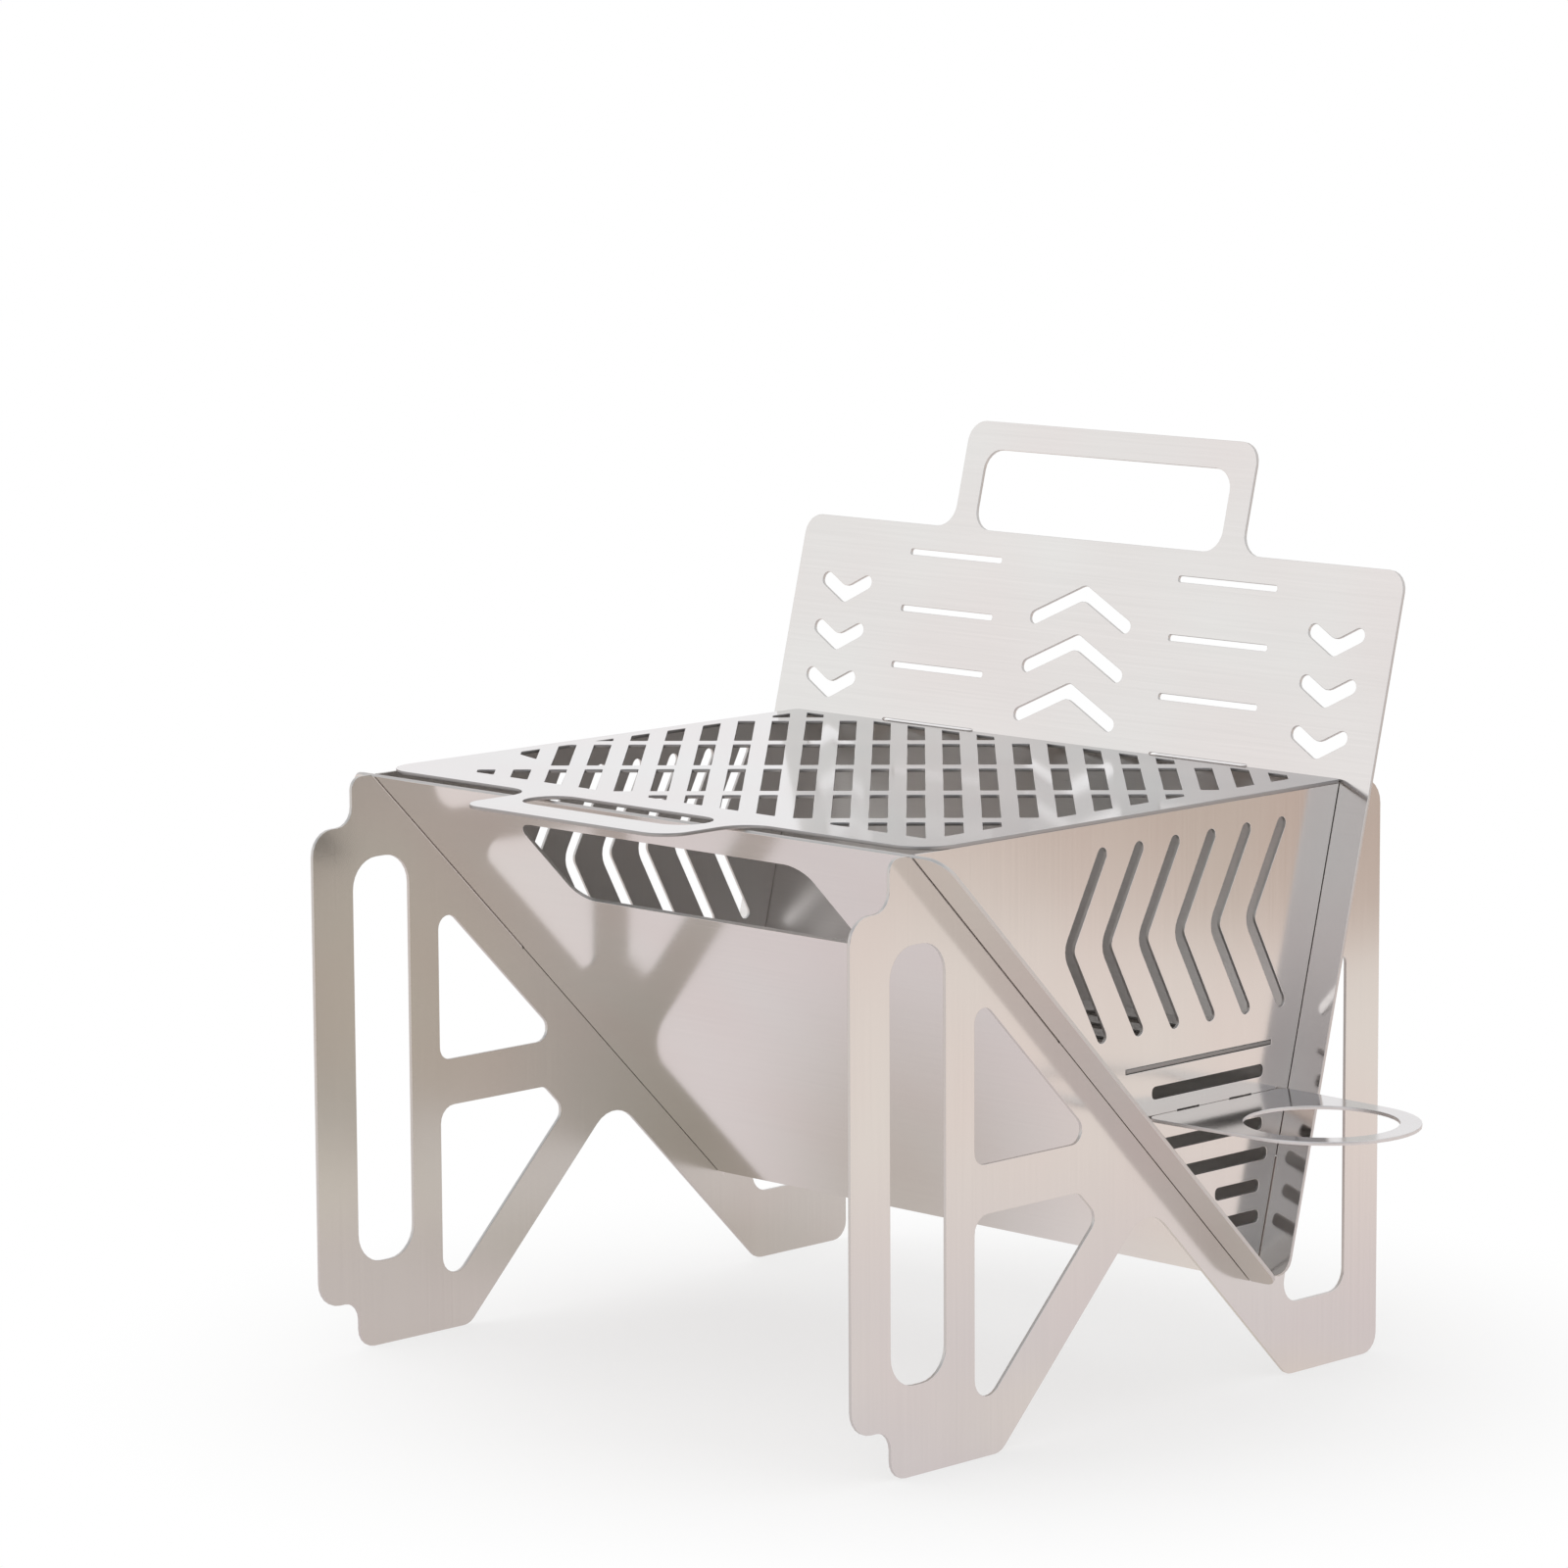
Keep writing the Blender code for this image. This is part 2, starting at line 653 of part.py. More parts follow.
def handle_opening():
    """The opening that the hand goes through."""
    half = HANDLE_WIDTH / 2.0 - HANDLE_SIDE_BAR
    return box(-half, REAR_SHOULDER, half, REAR_TOP - HANDLE_TOP_BAR, HANDLE_ROUND)


def thin_slots():
    """Two columns of thin slots. The lowest row takes the grate's tabs."""
    slots = []
    for side in (-1.0, 1.0):
        for row in range(THIN_SLOT_ROWS + 1):
            bottom = TAB_SLOT_BOTTOM + row * THIN_SLOT_PITCH
            slots.append(box(
                side * THIN_SLOT_OFFSET - THIN_SLOT_WIDTH / 2.0,
                bottom,
                side * THIN_SLOT_OFFSET + THIN_SLOT_WIDTH / 2.0,
                bottom + THIN_SLOT_HEIGHT,
                TINY_ROUND,
            ))
    return slots


def splash_vents(x, from_top, half_width, drop, stroke, pitch):
    """A column of bent vents whose ends lie a drop below their elbow."""
    vents = []
    for row in range(SPLASH_VENT_ROWS):
        apex = REAR_SHOULDER - from_top - row * pitch
        vents.append(bent_stroke(
            Vector((x - half_width, apex - drop)),
            Vector((x, apex)),
            Vector((x + half_width, apex - drop)),
            stroke,
            SPLASH_VENT_INNER_BEND,
            SPLASH_VENT_OUTER_BEND,
        ))
    return vents


def rear_panel():
    """The tall rear wall, splash guard and carry handle in one sheet."""
    holes = [handle_opening()]
    holes += thin_slots()
    for side in (-1.0, 1.0):
        holes += splash_vents(
            side * SIDE_VENT_OFFSET,
            SIDE_VENT_FROM_TOP,
            SIDE_VENT_HALF_WIDTH,
            -SIDE_VENT_DROP,
            SIDE_VENT_STROKE,
            SIDE_VENT_PITCH,
        )
    holes += splash_vents(
        0.0,
        CENTRE_VENT_FROM_TOP,
        CENTRE_VENT_HALF_WIDTH,
        CENTRE_VENT_DROP,
        CENTRE_VENT_STROKE,
        CENTRE_VENT_PITCH,
    )
    turn = (math.radians(90.0) - REAR_LEAN, 0.0, 0.0)
    material = steel("rear_panel", WALL_STEEL)
    return sheet("rear_panel", rear_outline(), holes, -SHEET, (0.0, REAR_FOOT, 0.0), turn, material)


# Grates and ring holder

def lattice(left, near, right, far):
    """Long slots turned to point at a corner, cut off along a rectangle."""
    middle = Vector(((left + right) / 2.0, (near + far) / 2.0))
    across = Vector((math.cos(LATTICE_TURN), math.sin(LATTICE_TURN)))
    along = Vector((-across.y, across.x))
    column_pitch = LATTICE_SLOT_WIDTH + LATTICE_BAR_WIDTH
    row_pitch = LATTICE_SLOT_LENGTH + LATTICE_CROSSBAR
    reach = (Vector((right, far)) - middle).length
    columns = int(reach / column_pitch) + 1
    rows = int(reach / row_pitch) + 2
    half_slot = across * (LATTICE_SLOT_WIDTH / 2.0)
    half_length = along * (LATTICE_SLOT_LENGTH / 2.0)
    slots = []
    for column in range(-columns, columns):
        for row in range(-rows, rows + 1):
            centre = middle + across * ((column + 0.5) * column_pitch)
            centre = centre + along * (row * row_pitch - LATTICE_ROW_OFFSET)
            slot = [
                centre - half_slot - half_length,
                centre + half_slot - half_length,
                centre + half_slot + half_length,
                centre - half_slot + half_length,
            ]
            slot = clipped(slot, left, near, right, far)
            if len(slot) >= 3 and area(slot) >= LATTICE_SMALLEST_AREA:
                slots.append(rounded([(point.x, point.y, TINY_ROUND) for point in slot]))
    return slots


def grill_grate():
    """The cooking grate with its pull in front and two tabs behind."""
    half = GRATE_HALF_WIDTH
    pull = PULL_WIDTH / 2.0
    tab_end = REAR.at_height(GRATE_TOP, SHEET).x + GRATE_TAB_STICK_OUT
    corners = [
        (-half, GRATE_NEAR_EDGE, GRATE_CORNER_ROUND),
        (-pull, GRATE_NEAR_EDGE, PULL_FOOT_ROUND),
        (-pull, GRATE_PULL_EDGE, PULL_ROUND),
        (pull, GRATE_PULL_EDGE, PULL_ROUND),
        (pull, GRATE_NEAR_EDGE, PULL_FOOT_ROUND),
        (half, GRATE_NEAR_EDGE, GRATE_CORNER_ROUND),
        (half, GRATE_FAR_EDGE, TAB_ROUND),
    ]
    for side in (1.0, -1.0):
        middle = side * THIN_SLOT_OFFSET
        corners += [
            (middle + GRATE_TAB_WIDTH / 2.0, GRATE_FAR_EDGE, 0.0),
            (middle + GRATE_TAB_WIDTH / 2.0, tab_end, TAB_ROUND),
            (middle - GRATE_TAB_WIDTH / 2.0, tab_end, TAB_ROUND),
            (middle - GRATE_TAB_WIDTH / 2.0, GRATE_FAR_EDGE, 0.0),
        ]
    corners.append((-half, GRATE_FAR_EDGE, TAB_ROUND))
    lattice_near = GRATE_NEAR_EDGE + LATTICE_NEAR_BORDER
    finger_far = lattice_near - FINGER_SLOT_WEB
    finger_slot = box(
        -FINGER_SLOT_WIDTH / 2.0,
        finger_far - FINGER_SLOT_HEIGHT,
        FINGER_SLOT_WIDTH / 2.0,
        finger_far,
        FINGER_SLOT_HEIGHT / 2.0,
    )
    slots = lattice(
        -half + LATTICE_SIDE_BORDER,
        lattice_near,
        half - LATTICE_SIDE_BORDER,
        GRATE_FAR_EDGE - LATTICE_FAR_BORDER,
    )
    material = steel("grill_grate", GRATE_STEEL)
    place = (0.0, 0.0, GRATE_BOTTOM)
    holes = [finger_slot, *slots]
    return sheet("grill_grate", rounded(corners), holes, 0.0, place, LEVEL, material)


def fire_grate():
    """The level grate that the fire lies on, between the wall panels."""
    half = PLATE_X - SHEET / 2.0 - CLEARANCE
    bottom = FIRE_GRATE_HEIGHT - SHEET / 2.0
    near = FRONT.at_height(bottom, SHEET).x + FIRE_GRATE_PANEL_GAP
    far = REAR.at_height(bottom).x - FIRE_GRATE_PANEL_GAP
    tab_near, tab_far = fire_tab_span()
    corners = [(-half, near, FIRE_CORNER_ROUND), (half, near, FIRE_CORNER_ROUND)]
    corners += [
        (half, tab_near, 0.0),
        (PLATE_OUTER_FACE, tab_near, 0.0),
        (PLATE_OUTER_FACE, tab_far, 0.0),
        (half, tab_far, 0.0),
    ]
    corners += [(half, far, FIRE_CORNER_ROUND), (-half, far, FIRE_CORNER_ROUND)]
    corners += [
        (-half, tab_far, 0.0),
        (-PLATE_OUTER_FACE, tab_far, 0.0),
        (-PLATE_OUTER_FACE, tab_near, 0.0),
        (-half, tab_near, 0.0),
    ]
    row_room = far - near - 2.0 * FIRE_BORDER - FIRE_SLOT_HEIGHT
    rows = 1 + int(row_room / FIRE_SLOT_PITCH)
    first_row = (near + far - (rows - 1) * FIRE_SLOT_PITCH) / 2.0
    column_room = 2.0 * (half - FIRE_BORDER) + FIRE_COLUMN_WEB
    column_pitch = column_room / FIRE_SLOT_COLUMNS
    slots = []
    for row in range(rows):
        middle = first_row + row * FIRE_SLOT_PITCH
        for column in range(FIRE_SLOT_COLUMNS):
            left = -half + FIRE_BORDER + column * column_pitch
            slots.append(box(
                left,
                middle - FIRE_SLOT_HEIGHT / 2.0,
                left + column_pitch - FIRE_COLUMN_WEB,
                middle + FIRE_SLOT_HEIGHT / 2.0,
                FIRE_SLOT_HEIGHT / 2.0,
            ))
    material = steel("fire_grate", FIRE_GRATE_STEEL)
    place = (0.0, 0.0, FIRE_GRATE_HEIGHT)
    return sheet("fire_grate", rounded(corners), slots, -SHEET / 2.0, place, LEVEL, material)


def circle(centre, radius):
    """A full circle as an outline."""
    pieces = 2 * arc_pieces(radius, math.pi)
    step = 2.0 * math.pi / pieces
    outline = []
    for piece in range(pieces):
        spoke = Vector((math.cos(piece * step), math.sin(piece * step)))
        outline.append(centre + spoke * radius)
    return outline


def ring_holder():
    """The side shelf with its round hole, held by two tabs."""
    centre = Vector((RING_BASE_X + RING_REACH, RING_CENTRE_DEPTH))
    half_base = RING_BASE_WIDTH / 2.0
    tab_end = PLATE_X - SHEET / 2.0 - RING_TAB_STICK_OUT
    tangent_angle = math.acos(RING_RADIUS / math.hypot(RING_REACH, half_base))
    start_angle = math.pi - math.atan2(half_base, RING_REACH) - tangent_angle
    corners = [(RING_BASE_X, RING_CENTRE_DEPTH - half_base, RING_BASE_ROUND)]
    pieces = arc_pieces(RING_RADIUS, 2.0 * start_angle)
    for piece in range(pieces + 1):
        angle = -start_angle + 2.0 * start_angle * piece / pieces
        rim = centre + Vector((math.cos(angle), math.sin(angle))) * RING_RADIUS
        corners.append((rim.x, rim.y, 0.0))
    corners.append((RING_BASE_X, RING_CENTRE_DEPTH + half_base, RING_BASE_ROUND))
    for near, far in reversed(ring_tab_spans()):
        corners += [
            (RING_BASE_X, far, 0.0),
            (tab_end, far, TINY_ROUND),
            (tab_end, near, TINY_ROUND),
            (RING_BASE_X, near, 0.0),
        ]
    hole = circle(centre, RING_HOLE_RADIUS)
    material = steel("ring_holder", HOLDER_STEEL)
    place = (0.0, 0.0, RING_HEIGHT)
    return sheet("ring_holder", rounded(corners), [hole], -SHEET / 2.0, place, LEVEL, material)


for old in list(bpy.data.objects):
    bpy.data.objects.remove(old)

end_plate("left_end_plate", -PLATE_X)
end_plate("right_end_plate", PLATE_X)
front_panel()
rear_panel()
grill_grate()
fire_grate()
ring_holder()
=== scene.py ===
import math

import bmesh
import bpy
from mathutils import Matrix, Vector


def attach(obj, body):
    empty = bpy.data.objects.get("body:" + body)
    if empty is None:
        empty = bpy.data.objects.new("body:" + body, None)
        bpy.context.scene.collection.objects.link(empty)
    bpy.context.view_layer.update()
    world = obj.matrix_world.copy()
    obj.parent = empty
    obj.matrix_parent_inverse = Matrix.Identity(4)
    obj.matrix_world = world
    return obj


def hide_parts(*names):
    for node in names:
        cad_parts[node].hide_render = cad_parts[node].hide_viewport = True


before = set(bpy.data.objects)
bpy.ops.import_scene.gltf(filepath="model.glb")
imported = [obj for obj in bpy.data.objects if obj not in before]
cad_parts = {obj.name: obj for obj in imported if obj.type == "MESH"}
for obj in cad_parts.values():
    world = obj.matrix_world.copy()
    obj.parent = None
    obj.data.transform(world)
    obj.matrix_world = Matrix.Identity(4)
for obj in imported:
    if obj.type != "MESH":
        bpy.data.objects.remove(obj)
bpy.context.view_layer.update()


# End plates
# Two alike side plates, cut by laser from 1.2 mm stainless sheet and deburred.
# They stand on their feet, and both walls hang in the open slots of their top
# edges.
LOOSE_VERTEX_REACH = 0.000002
FLAT_ANGLE = math.radians(0.5)
RIM_ANGLE = math.radians(60.0)
DEBURRED_EDGE = 0.00012
DEBURR_SEGMENTS = 2
FACE_ALIGNED = 0.999
CUT_WALL_ALIGNED = 0.5
CUT_ATTRIBUTE = "laser_cut"
INNER_ATTRIBUTE = "inner_side"


def deburred_sheet(name, node, body, inward, blank=None):
    """The visible sheet: a laser-cut blank with its sharp edges broken. The
    blank is the solid's own, or a mesh that is handed in. The two flat faces
    keep their own shading. The cut walls are marked, and so is the side that
    looks into the stove."""
    mesh = bmesh.new()
    mesh.from_mesh(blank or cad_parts[node].data)
    bmesh.ops.remove_doubles(mesh, verts=mesh.verts[:], dist=LOOSE_VERTEX_REACH)
    bmesh.ops.dissolve_limit(mesh, angle_limit=FLAT_ANGLE, verts=mesh.verts[:], edges=mesh.edges[:])
    outward = max(mesh.faces, key=lambda face: face.calc_area()).normal.copy()
    rims = [edge for edge in mesh.edges if edge.calc_face_angle(0.0) > RIM_ANGLE]
    bmesh.ops.bevel(
        mesh,
        geom=rims,
        offset=DEBURRED_EDGE,
        offset_type="OFFSET",
        segments=DEBURR_SEGMENTS,
        profile=0.5,
        affect="EDGES",
        clamp_overlap=False,
        material=-1,
    )
    bmesh.ops.triangulate(mesh, faces=mesh.faces[:])
    mesh.normal_update()
    cut = mesh.faces.layers.float.new(CUT_ATTRIBUTE)
    inner = mesh.faces.layers.float.new(INNER_ATTRIBUTE)
    for face in mesh.faces:
        face.smooth = True
        face[cut] = 1.0 if abs(face.normal.dot(outward)) < CUT_WALL_ALIGNED else 0.0
        face[inner] = 1.0 if face.normal.dot(Vector(inward)) > CUT_WALL_ALIGNED else 0.0
    for edge in mesh.edges:
        flat = [abs(face.normal.dot(outward)) > FACE_ALIGNED for face in edge.link_faces]
        edge.smooth = all(flat) or not any(flat)
    data = bpy.data.meshes.new(name)
    mesh.to_mesh(data)
    mesh.free()
    piece = bpy.data.objects.new(name, data)
    bpy.context.collection.objects.link(piece)
    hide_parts(node)
    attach(piece, body)
    return piece


def new_group(name, inputs, outputs):
    """An empty shader group with named sockets."""
    group = bpy.data.node_groups.new(name, "ShaderNodeTree")
    for label, kind, value in inputs:
        socket = group.interface.new_socket(name=label, in_out="INPUT", socket_type=kind)
        socket.default_value = value
    for label, kind in outputs:
        group.interface.new_socket(name=label, in_out="OUTPUT", socket_type=kind)
    return group


def added(tree, kind, place, **settings):
    """A node of one kind, put in its place and set up."""
    node = tree.nodes.new(kind)
    node.location = place
    for key, value in settings.items():
        setattr(node, key, value)
    return node


def soft_rise(tree, place, start, end):
    """A node that rises smoothly from 0 at one value to 1 at another."""
    rise = added(tree, "ShaderNodeMapRange", place, interpolation_type="SMOOTHSTEP")
    rise.inputs["From Min"].default_value = start
    rise.inputs["From Max"].default_value = end
    return rise


# Fine straight grain of rolled and brushed sheet, with faint cloudy patches
# and a slow drift between a cooler and a warmer tone
GRAIN_STRETCH = (14.0, 1150.0, 1150.0)
GRAIN_DETAIL = 3.0
GRAIN_FINENESS = 0.6
CLOUD_STRETCH = (9.0, 22.0, 22.0)
CLOUD_DETAIL = 2.0
NOISE_MIDDLE = 0.5
DRIFT_SCALE = 16.0
DRIFT_DETAIL = 1.0
DRIFT_FROM = (0.3, 0.7)
DRIFT_TO = (0.975, 1.015)
ROUGHNESS_SWING = 0.8
brushed = new_group(
    "brushed_sheet",
    (
        ("Vector", "NodeSocketVector", (0.0, 0.0, 0.0)),
        ("Tone", "NodeSocketColor", (0.7, 0.68, 0.66, 1.0)),
        ("Roughness", "NodeSocketFloat", 0.2),
        ("Grain Contrast", "NodeSocketFloat", 0.04),
        ("Cloud Contrast", "NodeSocketFloat", 0.03),
    ),
    (
        ("Color", "NodeSocketColor"),
        ("Roughness", "NodeSocketFloat"),
        ("Height", "NodeSocketFloat"),
    ),
)
group_in = added(brushed, "NodeGroupInput", (-900, 0))
group_out = added(brushed, "NodeGroupOutput", (700, 0))
grain_stretch = added(brushed, "ShaderNodeMapping", (-700, 200))
grain_stretch.inputs["Scale"].default_value = GRAIN_STRETCH
grain = added(brushed, "ShaderNodeTexNoise", (-500, 200))
grain.inputs["Scale"].default_value = 1.0
grain.inputs["Detail"].default_value = GRAIN_DETAIL
grain.inputs["Roughness"].default_value = GRAIN_FINENESS
cloud_stretch = added(brushed, "ShaderNodeMapping", (-700, -150))
cloud_stretch.inputs["Scale"].default_value = CLOUD_STRETCH
cloud = added(brushed, "ShaderNodeTexNoise", (-500, -150))
cloud.inputs["Scale"].default_value = 1.0
cloud.inputs["Detail"].default_value = CLOUD_DETAIL
grain_centred = added(brushed, "ShaderNodeMath", (-300, 200), operation="SUBTRACT")
grain_centred.inputs[1].default_value = NOISE_MIDDLE
cloud_centred = added(brushed, "ShaderNodeMath", (-300, -150), operation="SUBTRACT")
cloud_centred.inputs[1].default_value = NOISE_MIDDLE
grain_part = added(brushed, "ShaderNodeMath", (-120, 200), operation="MULTIPLY")
cloud_part = added(brushed, "ShaderNodeMath", (-120, -150), operation="MULTIPLY")
both = added(brushed, "ShaderNodeMath", (60, 100), operation="ADD")
lift = added(brushed, "ShaderNodeMath", (220, 100), operation="ADD")
lift.inputs[1].default_value = 1.0
tinted = added(brushed, "ShaderNodeVectorMath", (400, 100), operation="SCALE")
drift_spread = added(brushed, "ShaderNodeTexNoise", (-500, -450))
drift_spread.inputs["Scale"].default_value = DRIFT_SCALE
drift_spread.inputs["Detail"].default_value = DRIFT_DETAIL
drift = added(brushed, "ShaderNodeMapRange", (-300, -450))
drift.inputs["From Min"].default_value = DRIFT_FROM[0]
drift.inputs["From Max"].default_value = DRIFT_FROM[1]
drift.inputs["To Min"].default_value = DRIFT_TO[0]
drift.inputs["To Max"].default_value = DRIFT_TO[1]
drift_tone = added(brushed, "ShaderNodeCombineXYZ", (-100, -450))
drift_tone.inputs["X"].default_value = 1.0
drifted = added(brushed, "ShaderNodeVectorMath", (400, -250), operation="MULTIPLY")
rough_swing = added(brushed, "ShaderNodeMath", (220, -150), operation="MULTIPLY_ADD")
rough_swing.inputs[1].default_value = ROUGHNESS_SWING
joined = brushed.links.new
joined(group_in.outputs["Vector"], grain_stretch.inputs["Vector"])
joined(group_in.outputs["Vector"], cloud_stretch.inputs["Vector"])
joined(grain_stretch.outputs["Vector"], grain.inputs["Vector"])
joined(cloud_stretch.outputs["Vector"], cloud.inputs["Vector"])
joined(grain.outputs["Fac"], grain_centred.inputs[0])
joined(cloud.outputs["Fac"], cloud_centred.inputs[0])
joined(grain_centred.outputs[0], grain_part.inputs[0])
joined(group_in.outputs["Grain Contrast"], grain_part.inputs[1])
joined(cloud_centred.outputs[0], cloud_part.inputs[0])
joined(group_in.outputs["Cloud Contrast"], cloud_part.inputs[1])
joined(grain_part.outputs[0], both.inputs[0])
joined(cloud_part.outputs[0], both.inputs[1])
joined(both.outputs[0], lift.inputs[0])
joined(group_in.outputs["Vector"], drift_spread.inputs["Vector"])
joined(drift_spread.outputs["Fac"], drift.inputs["Value"])
joined(drift.outputs["Result"], drift_tone.inputs["Y"])
joined(drift.outputs["Result"], drift_tone.inputs["Z"])
joined(group_in.outputs["Tone"], drifted.inputs[0])
joined(drift_tone.outputs["Vector"], drifted.inputs[1])
joined(drifted.outputs["Vector"], tinted.inputs[0])
joined(lift.outputs[0], tinted.inputs["Scale"])
joined(both.outputs[0], rough_swing.inputs[0])
joined(group_in.outputs["Roughness"], rough_swing.inputs[2])
joined(tinted.outputs["Vector"], group_out.inputs["Color"])
joined(rough_swing.outputs[0], group_out.inputs["Roughness"])
joined(grain.outputs["Fac"], group_out.inputs["Height"])

# A mask that is 1 inside the fire chamber: between the two leaning walls and
# the two end plates, and below the grill grate. There the sheets' inner sides
# take a painted shade tone.
FRONT_WALL_NORMAL = (0.0, 0.707107, 0.707107)
FRONT_WALL_REACH = 0.0679
REAR_WALL_NORMAL = (0.0, -0.968583, 0.248690)
REAR_WALL_REACH = -0.0513
STOVE_MIDDLE_X = -0.0323
CHAMBER_HALF_WIDTH = 0.1250
CHAMBER_TOP = 0.1963
CHAMBER_SLACK = 0.0006
chamber = new_group(
    "chamber_mask",
    (("Vector", "NodeSocketVector", (0.0, 0.0, 0.0)),),
    (("Inside", "NodeSocketFloat"),),
)
chamber_in = added(chamber, "NodeGroupInput", (-900, 0))
chamber_out = added(chamber, "NodeGroupOutput", (400, 0))
past_front = added(chamber, "ShaderNodeVectorMath", (-700, 300), operation="DOT_PRODUCT")
past_front.inputs[1].default_value = FRONT_WALL_NORMAL
past_rear = added(chamber, "ShaderNodeVectorMath", (-700, 100), operation="DOT_PRODUCT")
past_rear.inputs[1].default_value = REAR_WALL_NORMAL
chamber_parts = added(chamber, "ShaderNodeSeparateXYZ", (-700, -150))
from_middle = added(chamber, "ShaderNodeMath", (-500, -150), operation="SUBTRACT")
from_middle.inputs[1].default_value = STOVE_MIDDLE_X
aside = added(chamber, "ShaderNodeMath", (-340, -150), operation="ABSOLUTE")
in_front = added(chamber, "ShaderNodeMath", (-180, 300), operation="GREATER_THAN")
in_front.inputs[1].default_value = FRONT_WALL_REACH - CHAMBER_SLACK
in_rear = added(chamber, "ShaderNodeMath", (-180, 100), operation="GREATER_THAN")
in_rear.inputs[1].default_value = REAR_WALL_REACH - CHAMBER_SLACK
in_width = added(chamber, "ShaderNodeMath", (-180, -100), operation="LESS_THAN")
in_width.inputs[1].default_value = CHAMBER_HALF_WIDTH
in_height = added(chamber, "ShaderNodeMath", (-180, -300), operation="LESS_THAN")
in_height.inputs[1].default_value = CHAMBER_TOP + CHAMBER_SLACK
between_walls = added(chamber, "ShaderNodeMath", (0, 200), operation="MULTIPLY")
in_box = added(chamber, "ShaderNodeMath", (0, -200), operation="MULTIPLY")
in_chamber = added(chamber, "ShaderNodeMath", (200, 0), operation="MULTIPLY")
joined = chamber.links.new
joined(chamber_in.outputs["Vector"], past_front.inputs[0])
joined(chamber_in.outputs["Vector"], past_rear.inputs[0])
joined(chamber_in.outputs["Vector"], chamber_parts.inputs["Vector"])
joined(chamber_parts.outputs["X"], from_middle.inputs[0])
joined(from_middle.outputs[0], aside.inputs[0])
joined(past_front.outputs["Value"], in_front.inputs[0])
joined(past_rear.outputs["Value"], in_rear.inputs[0])
joined(aside.outputs[0], in_width.inputs[0])
joined(chamber_parts.outputs["Z"], in_height.inputs[0])
joined(in_front.outputs[0], between_walls.inputs[0])
joined(in_rear.outputs[0], between_walls.inputs[1])
joined(in_width.outputs[0], in_box.inputs[0])
joined(in_height.outputs[0], in_box.inputs[1])
joined(between_walls.outputs[0], in_chamber.inputs[0])
joined(in_box.outputs[0], in_chamber.inputs[1])
joined(in_chamber.outputs[0], chamber_out.inputs["Inside"])

# The steel itself. The sockets of a colour mix node are picked by number.
MIX_A = 6
MIX_B = 7
MIX_RESULT = 2
# Painted shade for the sheets' inner sides inside the fire chamber, and their roughness there
CHAMBER_PAINTED_SHADE = (0.695, 0.67, 0.645, 1.0)
CHAMBER_ROUGHNESS = 0.30
CUT_ROUGHNESS = 0.42
GRAIN_STRENGTH = 0.25
GRAIN_DEPTH = 0.000002
WAVE_SCALE = 13.0
WAVE_DETAIL = 1.0


